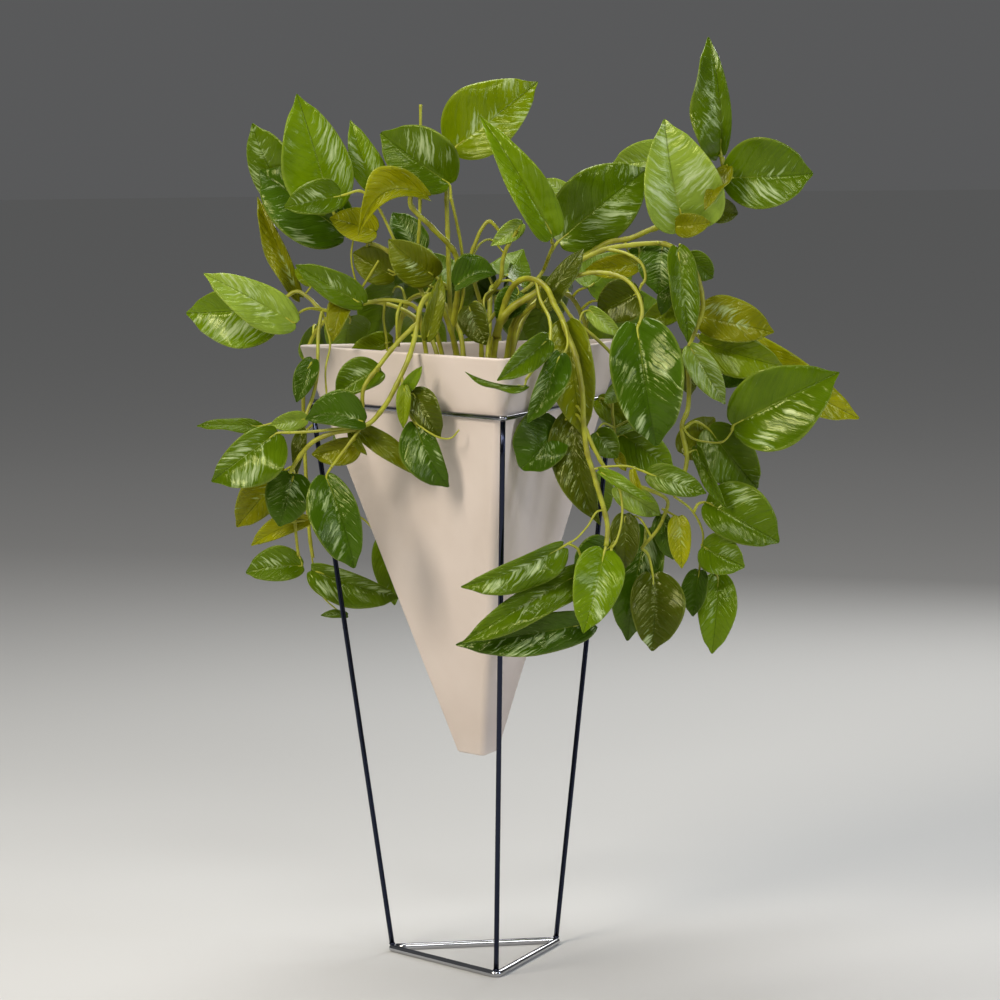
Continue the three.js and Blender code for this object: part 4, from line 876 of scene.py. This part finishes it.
# %% Stems and leaves of each vine
VINES = [
    {
        "name": "vine_upper_left",
        "root": [-38, -8],
        "stems": [
            (2.9, [[-48, 775, 12], [-62, 815, 18], [-84, 850, 24], [-108, 870, 26], [-134, 881, 24],
             [-152, 893, 22], [-166, 908, 20], [-172, 925, 20]]),
            (1.9, [[-134, 881, 24], [-152, 888, 4], [-170, 898, -16], [-192, 916, -30], [-213, 930, -38]]),
            (1.9, [[-84, 850, 24], [-100, 890, 40], [-118, 925, 50], [-136, 940, 56], [-163, 934, 60]]),
        ],
        "leaves": [
            [-172, 925, 20, -211, 1058, 45, 84, 6, "lime", {"skew": 0.12, "shape": [0.58, 0.92]}],
            [-215, 930, -38, -265, 1023, -20, 68, -18, "mid",
             {"skew": -0.26, "sway": 0.05, "shape": [0.5, 0.8]}],
            [-160, 893, -5, -257, 966, -20, 86, 8, "deep",
             {"skew": 0.08, "sway": 0.02, "shape": [0.5, 0.75]}],
            [-162, 934, 60, -229, 921, 75, 43, 10, "mid", {"skew": -0.08, "lobe": 0.06}],
            [-118, 945, 5, -147, 1026, 15, 40, 14, "lime", {"sway": 0.05, "shape": [0.5, 0.9]}],
            [-120, 892, 34, -174, 908, 38, 42, 15, "yellow"],
            [-98, 838, 0, -146, 866, -10, 46, -10, "olive", {"skew": -0.14, "shape": [0.5, 0.7]}],
        ],
    },
    {
        "name": "vine_crown_left",
        "root": [-22, 20],
        "stems": [
            (3.1, [[-28, 770, -14], [-30, 820, -12], [-31, 880, -10], [-32, 940, -14], [-30, 968, -18],
             [-21, 990, -23]]),
            (2.2, [[-30, 820, -12], [-52, 842, -6], [-66, 862, -2], [-65, 900, 0], [-63, 960, 0],
             [-62, 1043, -4]]),
            (3.6, [[-28, 770, -14], [-20, 820, 6], [-22, 862, 24], [-50, 895, 44], [-76, 925, 60],
             [-66, 952, 70]]),
            (1.4, [[-30, 820, -12], [-50, 823, 4], [-76, 832, 14], [-104, 845, 18]]),
            (2.2, [[-28, 770, -14], [-14, 810, 0], [-14, 862, 6], [-20, 900, 12], [-30, 945, 20]]),
        ],
        "leaves": [
            [-60, 935, 72, -139, 886, 96, 47, -20, "yellow",
             {"skew": -0.56, "sway": -0.36, "fold": 0.55, "bow": 0.16}],
            [-29, 948, 20, -111, 1010, 30, 79, -10, "mid",
             {"skew": -0.23, "shape": [0.6, 0.74], "lobe": 0.06}],
            [-20, 992, -24, 80, 1069, -40, 86, -8, "fresh",
             {"skew": 0.14, "sway": -0.02, "lobe": 0.07, "shape": [0.5, 0.95]}],
            [-68, 866, -16, -98, 914, -30, 44, 20, "deep"],
            [-50, 838, 30, -103, 882, 44, 52, -15, "olive"],
        ],
    },
    {
        "name": "vine_centre",
        "root": [8, -2],
        "stems": [
            (2.9, [[8, 770, 10], [8, 800, 20], [20, 815, 30], [32, 832, 40], [35, 855, 46], [41, 872, 52],
             [49, 884, 50], [56, 896, 43]]),
            (2.6, [[8, 770, 10], [34, 800, 4], [66, 822, 0], [84, 842, -4], [92, 862, -6], [101, 876, -6]]),
            (2.6, [[8, 800, 20], [-4, 855, 30], [3, 878, 33], [10, 893, 34], [19, 902, 34], [33, 888, 34]]),
            (2.2, [[84, 842, -4], [91, 860, 18], [96, 874, 40], [90, 884, 55]]),
            (1.3, [[24, 820, 34], [13, 812, 44], [12, 795, 50], [17, 772, 54]]),
            (1.5, [[-4, 855, 30], [8, 875, 24], [20, 880, 20], [38, 862, 18]]),
        ],
        "leaves": [
            [94, 886, 58, 8, 1030, 50, 49, 10, "lime",
             {"skew": 0.04, "sway": 0.0, "shape": [0.3, 0.9], "lobe": 0.04, "fold": 0.7}],
            [104, 878, -8, 212, 964, -26, 93, 6, "mid",
             {"skew": 0.08, "sway": 0.02, "shape": [0.6, 0.86], "lobe": 0.05}],
            [58, 898, 40, 20, 872, 50, 24, 0, "pale", {"shape": [0.6, 0.9]}],
            [120, 925, -50, 88, 953, -56, 26, 0, "pale"],
            [-20, 826, 56, 28, 838, 44, 36, -12, "deep",
             {"skew": 0.47, "sway": 0.1, "lobe": 0.14, "shape": [0.4, 0.7]}],
            [54, 815, 34, 26, 784, 36, 38, 0, "deep"],
            [-6, 798, 68, 14, 752, 80, 38, 15, "dim"],
        ],
    },
    {
        "name": "vine_top_right",
        "root": [20, 18],
        "stems": [
            (3.8, [[26, 768, -8], [42, 790, -6], [64, 806, -4], [92, 828, -2], [120, 850, 2], [145, 865, 6],
             [163, 875, 10], [188, 879, 12], [215, 890, 14], [251, 900, 14], [281, 917, 8], [295, 935, 2],
             [303, 953, -2], [301, 972, -6], [298, 985, -8]]),
        ],
        "leaves": [
            [299, 985, -8, 285, 1121, 5, 52, 18, "mid", {"skew": 0.54}],
            [251, 904, 30, 231, 1023, 42, 96, 8, "pale",
             {"skew": -0.16, "sway": 0.03, "shape": [0.36, 0.8], "fold": 0.4, "lobe": 0.16}],
            [240, 975, -50, 167, 968, -62, 52, 0, "pale"],
            [305, 962, 34, 279, 912, 64, 25, 26, "amber", {"skew": 0.22}],
            [283, 915, 12, 320, 908, 4, 32, 0, "dim"],
            [246, 893, 34, 287, 898, 44, 30, 0, "amber"],
            [304, 951, 12, 411, 955, 20, 87, 4, "mid", {"skew": 0.12, "shape": [0.6, 0.8], "lobe": 0.05}],
        ],
    },
    {
        "name": "vine_arch_right",
        "root": [38, -4],
        "stems": [
            (3.3, [[46, 775, 16], [62, 800, 28], [96, 832, 34], [130, 854, 36], [160, 867, 36],
             [188, 871, 36], [210, 873, 38], [232, 872, 42], [255, 858, 48], [268, 838, 52], [275, 812, 55],
             [276, 792, 56], [269, 772, 56], [258, 742, 56], [259, 700, 60], [257, 670, 64], [250, 652, 68],
             [256, 612, 74], [250, 586, 78], [240, 566, 82]]),
            (2.1, [[160, 867, 36], [185, 861, 48], [203, 848, 58], [207, 830, 62], [197, 815, 62]]),
            (1.5, [[269, 772, 56], [258, 770, 34], [262, 765, 4], [288, 758, -30], [314, 752, -44]]),
            (1.3, [[250, 652, 68], [262, 637, 84], [280, 632, 92], [300, 632, 98], [311, 645, 98],
             [313, 652, 94]]),
            (1.5, [[240, 566, 82], [262, 548, 66], [275, 520, 60], [272, 495, 58], [270, 472, 60]]),
        ],
        "leaves": [
            [196, 848, 8, 134, 842, 4, 30, 0, "yellow"],
            [197, 813, 62, 148, 790, 50, 54, 0, "dim"],
            [228, 870, 22, 222, 811, 34, 51, 8, "deep", {"skew": -0.05, "shape": [0.5, 0.75]}],
            [190, 860, -6, 240, 856, -12, 24, 0, "deep"],
            [247, 862, 62, 258, 752, 68, 38, -12, "mid"],
            [240, 822, 2, 226, 786, -8, 22, 20, "deep"],
            [246, 796, -16, 204, 778, -24, 32, 0, "fresh"],
            [258, 856, -4, 289, 830, -14, 34, 0, "mid"],
            [272, 784, 36, 363, 764, 34, 56, -8, "amber",
             {"skew": 0.11, "shape": [0.46, 0.8], "lobe": 0.05}],
            [278, 752, 14, 374, 722, 6, 54, 10, "fresh"],
            [318, 753, -44, 466, 658, -66, 59, -8, "yellow", {"skew": -0.11, "sway": -0.04}],
            [262, 745, 76, 303, 677, 90, 36, -6, "pale", {"skew": -0.11, "shape": [0.5, 0.75]}],
            [252, 742, 40, 261, 688, 32, 30, 0, "dim"],
            [335, 728, -16, 296, 698, -12, 32, 0, "deep"],
            [313, 652, 94, 442, 715, 108, 97, -6, "mid",
             {"skew": -0.15, "shape": [0.56, 0.92], "lobe": 0.04}],
            [253, 620, 44, 290, 662, 34, 45, 0, "olive", {"skew": -0.04}],
            [286, 644, 52, 342, 574, 44, 66, 10, "mid"],
            [268, 622, 72, 304, 550, 84, 18, 20, "mid"],
            [280, 558, 64, 368, 508, 72, 71, -6, "mid",
             {"skew": 0.18, "shape": [0.44, 0.72], "lobe": 0.04}],
            [277, 503, 62, 326, 478, 72, 50, 0, "lime"],
            [270, 472, 62, 262, 418, 66, 34, 20, "deep"],
            [293, 464, 42, 285, 372, 46, 48, -8, "lime"],
        ],
    },
    {
        "name": "vine_mid_right",
        "root": [44, -26],
        "stems": [
            (2.8, [[52, 780, 36], [72, 800, 54], [96, 818, 66], [118, 832, 74], [138, 838, 82],
             [160, 838, 92], [183, 830, 106], [198, 812, 118], [203, 790, 126], [200, 777, 130],
             [196, 770, 132]]),
            (2.2, [[96, 818, 66], [110, 796, 84], [120, 782, 98], [132, 772, 106], [150, 756, 112],
             [165, 740, 115], [175, 720, 115], [172, 702, 112], [166, 680, 106], [168, 650, 100],
             [172, 620, 96]]),
        ],
        "leaves": [
            [197, 770, 132, 219, 627, 152, 87, 4, "deep", {"skew": 0.13, "shape": [0.48, 0.66]}],
            [82, 800, 84, 133, 868, 70, 31, -16, "dim", {"skew": -0.21}],
            [140, 793, 96, 178, 762, 100, 22, 10, "pale"],
            [150, 684, 84, 186, 653, 86, 30, 0, "fresh"],
            [178, 700, 119, 156, 680, 128, 22, 0, "pale"],
            [147, 644, 122, 172, 613, 128, 34, 0, "mid"],
            [178, 642, 84, 240, 600, 86, 52, 10, "lime"],
            [200, 654, 100, 168, 640, 106, 12, 20, "pale"],
            [172, 618, 97, 182, 597, 104, 14, 10, "yellow"],
        ],
    },
    {
        "name": "vine_front_right",
        "root": [22, -32],
        "stems": [
            (3.6, [[28, 770, 44], [38, 806, 54], [46, 822, 64], [60, 832, 82], [75, 830, 100],
             [88, 820, 118], [97, 800, 134], [105, 785, 144], [112, 765, 154], [120, 745, 161],
             [126, 720, 167], [130, 690, 172], [131, 655, 176], [135, 620, 180], [141, 600, 183],
             [148, 575, 187], [155, 550, 191], [159, 530, 194], [158, 513, 197], [155, 493, 200]]),
            (2.4, [[131, 655, 176], [145, 622, 180], [160, 598, 178], [185, 583, 172], [208, 575, 166],
             [232, 561, 160], [229, 545, 156], [220, 526, 152], [200, 503, 146]]),
            (1.5, [[141, 600, 183], [160, 603, 188], [185, 603, 190], [214, 593, 192]]),
            (1.3, [[155, 550, 191], [146, 548, 197], [135, 531, 204], [120, 515, 210], [98, 502, 216]]),
            (1.5, [[160, 598, 178], [173, 577, 184], [177, 555, 189], [175, 530, 194], [168, 509, 198],
             [155, 493, 200]]),
            (2.1, [[75, 830, 100], [80, 806, 126], [90, 785, 150], [92, 765, 174], [88, 745, 196],
             [75, 728, 216], [56, 702, 236]]),
            (5.0, [[26, 762, 42], [32, 782, 48], [46, 798, 54], [68, 811, 60], [84, 822, 62]]),
            (1.7, [[105, 785, 144], [111, 768, 162], [112, 750, 178], [105, 737, 188], [98, 738, 194]]),
        ],
        "leaves": [
            [154, 496, 202, 128, 399, 236, 60, -8, "lime", {"skew": -0.04, "shape": [0.5, 0.8]}],
            [125, 473, 198, -20, 389, 234, 45, 10, "mid", {"skew": 0.26}],
            [131, 411, 188, -28, 387, 206, 48, -8, "deep", {"skew": 0.05}],
            [99, 503, 216, -21, 458, 236, 41, -10, "mid", {"skew": 0.35, "sway": 0.02}],
            [112, 772, 136, 131, 640, 150, 58, 10, "olive"],
            [102, 737, 194, 62, 657, 214, 36, 8, "deep", {"skew": 0.23, "sway": 0.04}],
            [86, 756, 212, 26, 709, 262, 34, -12, "mid"],
            [59, 702, 236, -13, 721, 240, 9, -15, "mid", {"skew": 0.6, "sway": 0.06}],
            [100, 652, 132, 54, 601, 162, 68, -8, "deep", {"skew": -0.23, "shape": [0.5, 0.5]}],
            [117, 663, 134, 151, 531, 152, 49, 8, "dim",
             {"skew": -0.2, "sway": -0.06, "shape": [0.5, 0.9]}],
            [152, 596, 198, 216, 558, 206, 15, 10, "lime", {"skew": 0.39}],
            [212, 593, 192, 280, 569, 198, 35, -8, "mid", {"shape": [0.5, 0.8]}],
            [172, 577, 146, 224, 543, 140, 34, 0, "pale"],
            [180, 541, 150, 180, 478, 146, 36, 0, "dim"],
            [161, 504, 166, 117, 480, 168, 46, 0, "deep"],
            [205, 520, 106, 182, 389, 110, 64, 8, "deep"],
            [214, 467, 146, 212, 376, 158, 65, -4, "dim",
             {"skew": 0.11, "sway": 0.02, "shape": [0.5, 0.75]}],
            [226, 541, 140, 239, 488, 136, 28, 20, "deep"],
            [246, 538, 164, 249, 477, 172, 29, -10, "yellow", {"skew": -0.13}],
            [190, 598, 196, 202, 565, 200, 12, 20, "yellow"],
        ],
    },
    {
        "name": "vine_left_mid",
        "root": [-58, 4],
        "stems": [
            (2.8, [[-64, 775, 0], [-70, 798, 4], [-88, 806, 8], [-108, 808, 10], [-130, 805, 12],
             [-152, 799, 14], [-170, 797, 16], [-184, 797, 18], [-200, 812, 10], [-214, 820, 4],
             [-226, 814, 2], [-238, 801, 0]]),
            (1.9, [[-184, 797, 18], [-200, 799, 26], [-212, 794, 32], [-221, 784, 36]]),
            (2.2, [[-184, 797, 18], [-189, 770, 24], [-190, 745, 30], [-191, 720, 36], [-197, 692, 42],
             [-206, 668, 48], [-210, 645, 54], [-216, 612, 58], [-220, 580, 60], [-221, 545, 60],
             [-219, 515, 58], [-216, 488, 54]]),
            (1.4, [[-184, 797, 18], [-178, 772, 18], [-175, 755, 28], [-181, 725, 38], [-180, 690, 44]]),
            (1.1, [[-190, 745, 30], [-192, 730, 38], [-198, 716, 42], [-206, 708, 44], [-208, 714, 46],
             [-202, 728, 46]]),
            (1.7, [[-108, 808, 10], [-110, 785, 4], [-107, 762, 0], [-106, 744, -2]]),
            (1.3, [[-130, 805, 12], [-141, 826, 20], [-148, 860, 28], [-143, 892, 32]]),
            (2.0, [[-88, 806, 8], [-93, 792, 16], [-94, 770, 16], [-92, 752, 12]]),
            (1.7, [[-130, 805, 12], [-136, 820, 20], [-126, 838, 26], [-115, 856, 30]]),
        ],
        "leaves": [
            [-236, 801, 0, -349, 795, -14, 77, -5, "lime",
             {"skew": 0.15, "shape": [0.48, 0.8], "lobe": 0.06}],
            [-218, 782, 36, -327, 843, 44, 53, 10, "pale",
             {"skew": 0.14, "shape": [0.5, 0.86], "lobe": 0.05}],
            [-213, 819, -18, -260, 935, -34, 27, 12, "amber", {"skew": 0.42, "sway": 0.03}],
            [-139, 806, 44, -216, 852, 50, 38, -6, "mid", {"skew": -0.16}],
            [-195, 830, -2, -217, 847, -6, 18, 0, "fresh"],
            [-157, 812, 30, -172, 758, 44, 28, 15, "amber"],
            [-197, 735, 44, -217, 685, 50, 28, 10, "deep"],
            [-207, 665, 56, -250, 658, 60, 24, 0, "pale"],
            [-264, 657, 44, -339, 658, 36, 19, 25, "mid", {"skew": 0.18}],
            [-210, 650, 66, -218, 598, 70, 18, 20, "dim"],
            [-235, 600, 30, -292, 534, 20, 50, 0, "amber", {"skew": -0.12}],
            [-222, 595, 74, -240, 534, 80, 57, 0, "deep"],
            [-208, 541, 50, -275, 511, 46, 27, -15, "yellow", {"skew": -0.23, "sway": -0.09}],
            [-213, 486, 54, -282, 478, 56, 43, 6, "mid",
             {"skew": -0.09, "sway": -0.05, "shape": [0.5, 0.72], "lobe": 0.05}],
            [-102, 757, -9, -150, 749, -12, 24, -10, "fresh", {"skew": -0.42}],
        ],
    },
    {
        "name": "vine_left_front",
        "root": [-20, -36],
        "stems": [
            (3.3, [[-28, 768, 46], [-40, 800, 62], [-50, 814, 76], [-58, 811, 88], [-65, 800, 98],
             [-69, 780, 108], [-74, 757, 118], [-80, 738, 126], [-89, 718, 130], [-98, 700, 132],
             [-107, 684, 132], [-116, 672, 130], [-126, 661, 128], [-138, 655, 126], [-152, 651, 122],
             [-172, 648, 118], [-199, 636, 112], [-219, 612, 106], [-226, 600, 102]]),
            (2.9, [[-69, 780, 108], [-82, 768, 114], [-95, 755, 118], [-115, 730, 124], [-135, 702, 128],
             [-138, 665, 129]]),
            (1.9, [[-138, 655, 126], [-165, 653, 125], [-195, 650, 118], [-241, 648, 108]]),
            (1.9, [[-138, 655, 126], [-155, 633, 127], [-172, 611, 126], [-184, 594, 124]]),
            (1.9, [[-89, 718, 130], [-86, 690, 136], [-76, 662, 142], [-72, 657, 142]]),
            (1.2, [[-76, 662, 142], [-58, 648, 156], [-42, 640, 160], [-30, 640, 162], [-20, 650, 164]]),
        ],
        "leaves": [
            [-117, 722, 106, -170, 691, 108, 42, 5, "mid", {"skew": -0.15, "sway": -0.08}],
            [-138, 662, 129, -207, 664, 124, 45, 8, "deep", {"skew": -0.3, "sway": -0.1}],
            [-242, 648, 108, -322, 590, 112, 64, 4, "mid",
             {"skew": 0.34, "shape": [0.48, 0.8], "lobe": 0.06}],
            [-182, 594, 124, -149, 482, 138, 60, -4, "deep",
             {"skew": -0.27, "sway": 0.02, "shape": [0.55, 0.7], "lobe": 0.06}],
            [-145, 632, 92, -200, 622, 90, 33, 0, "amber", {"skew": 0.23}],
            [-152, 650, 112, -132, 620, 114, 12, 20, "olive"],
            [-141, 650, 92, -68, 593, 108, 28, 12, "olive", {"skew": 0.19, "sway": 0.05}],
            [-72, 656, 140, -33, 580, 136, 48, -6, "deep",
             {"skew": -0.3, "sway": -0.07, "shape": [0.44, 0.74]}],
            [-75, 694, 136, -43, 640, 146, 37, 8, "dim", {"skew": 0.23}],
            [-84, 700, 140, -64, 728, 150, 16, 0, "lime"],
            [-86, 702, 148, -88, 652, 152, 18, 0, "fresh", {"skew": -0.05}],
            [-57, 764, 112, -40, 838, 104, 23, 10, "olive"],
        ],
    },
    {
        "name": "vine_left_back",
        "root": [-44, 32],
        "stems": [
            (2.8, [[-60, 775, -45], [-95, 800, -75], [-140, 805, -110], [-180, 785, -135],
             [-202, 750, -145], [-208, 700, -142], [-208, 640, -135], [-206, 580, -125], [-203, 520, -115],
             [-198, 482, -108]]),
            (1.2, [[-203, 520, -115], [-200, 490, -122], [-193, 455, -128], [-174, 434, -132],
             [-160, 425, -131]]),
            (1.4, [[-206, 580, -125], [-170, 560, -135], [-135, 540, -142], [-118, 516, -144]]),
        ],
        "leaves": [
            [-196, 479, -108, -94, 446, -120, 46, -8, "mid",
             {"skew": -0.37, "sway": -0.03, "shape": [0.4, 0.74]}],
            [-112, 516, -144, -101, 436, -140, 41, 8, "lime", {"skew": 0.11}],
            [-160, 425, -130, -192, 425, -126, 12, 20, "mid"],
            [-172, 700, -165, -122, 655, -190, 58, 160, "mid"],
            [-160, 648, -146, -130, 600, -156, 50, -160, "deep"],
            [-150, 786, -150, -160, 730, -190, 58, 170, "mid"],
            [-190, 775, -172, -162, 710, -198, 54, 150, "deep"],
        ],
    },
]

BACK_VINES = [
    {
        "name": "vine_back_left",
        "root": [-14, 46],
        "at": [[-20, 775, -72], [-48, 812, -102], [-78, 808, -128], [-92, 770, -146], [-96, 720, -154],
            [-92, 660, -152], [-84, 605, -144], [-72, 560, -134]],
        "crown": [
            [-52, 826, -118, -124, 846, -186, 76, 160, "mid"],
            [-36, 826, -98, -62, 866, -136, 54, 170, "deep"],
        ],
    },
    {
        "name": "vine_back_middle",
        "root": [16, 44],
        "at": [[18, 780, -72], [20, 818, -104], [24, 820, -136], [28, 788, -160], [30, 740, -168],
            [26, 680, -166], [20, 622, -158], [12, 570, -148]],
        "crown": [
            [40, 836, -118, 60, 868, -196, 62, 175, "mid"],
            [36, 818, -138, 40, 812, -214, 66, 165, "deep"],
        ],
    },
    {
        "name": "vine_back_right",
        "root": [44, 30],
        "at": [[60, 785, -58], [88, 814, -94], [116, 810, -130], [134, 775, -156], [142, 725, -166],
            [142, 668, -164], [132, 615, -156], [120, 575, -148]],
        "crown": [
            [140, 822, -122, 190, 862, -182, 74, 170, "mid"],
            [170, 800, -130, 240, 790, -180, 74, 160, "deep"],
        ],
    },
]


FIRST_LENGTH = 96
SHORTER = 7


def hanging_leaves(at):
    """Leaves in turn to the left and right of a hanging stem, each a little shorter than the one before.
    Tips point down, outwards and away from the eye, and the upper faces look to the back."""
    tones = ["deep", "mid", "olive", "deep", "lime", "mid"]
    rows = []
    for k, (x, z, toward) in enumerate(at[2:]):
        side = 1 if k % 2 else -1
        length = FIRST_LENGTH - SHORTER * k
        base = [x + 17 * side, z + 16, toward - 22]
        tip = [base[0] + 0.3 * side * length, base[1] - 0.82 * length, base[2] - 0.4 * length]
        rows.append([*base, *tip, 0.68 * length, 180 + 22 * side, tones[k % len(tones)]])
    return rows


BACK_RADIUS = 3.2
for vine in BACK_VINES:
    leaves = hanging_leaves(vine["at"]) + vine["crown"]
    VINES.append({**vine, "stems": [(BACK_RADIUS, vine["at"])], "leaves": leaves})


# %% Grow the vines
PEG_HEIGHT = 7.0
HOLE_DEPTH = 12.0
END_GAP = 6.0
TAPER = 0.82
LINE_STEP = 6.0


def stem_places(at, leaves):
    """The places of a stem, which stops a little short where a leaf sits on its end."""
    places = seen(at)
    before, end = places[-2], places[-1]
    for leaf in leaves:
        if np.linalg.norm(leaf["base"] - end) < END_GAP * MM:
            gap = np.linalg.norm(before - end)
            back = min(4 * MM + 0.09 * leaf["length"], 0.7 * gap)
            places[-1] = end + (before - end) / gap * back
            break
    return places


leaf_count = 0
for vine in VINES:
    x, y = vine["root"]
    top = float(soil_height(x, y))
    leaves = [leaf_from(row, leaf_count + k) for k, row in enumerate(vine["leaves"])]
    leaf_count += len(leaves)
    skins, lines = [], []
    for k, (radius, at) in enumerate(vine["stems"]):
        places = stem_places(at, leaves)
        if k == 0:
            # the stem starts 1 mm above the floor of its hole and leaves the soil straight up
            peg = np.array([[x, y, top - HOLE_DEPTH + 1], [x, y, top + PEG_HEIGHT - 4]]) * MM + AXIS
            places = np.concatenate([peg, places])
        lines.append(smooth_line(places, LINE_STEP)[0])
        age = min(1.0, radius / 4)
        skins.append(stem_skin(places, radius, radius * TAPER, around=12, age=age, seed=k))
    stem_line = np.concatenate(lines)
    for leaf in leaves:
        skins += [blade_skin(leaf), petiole_skin(leaf, stem_line)]
    piece_from("leafy_" + vine["name"], skins, [leaf_wax, stem_bark], [vine["name"]])
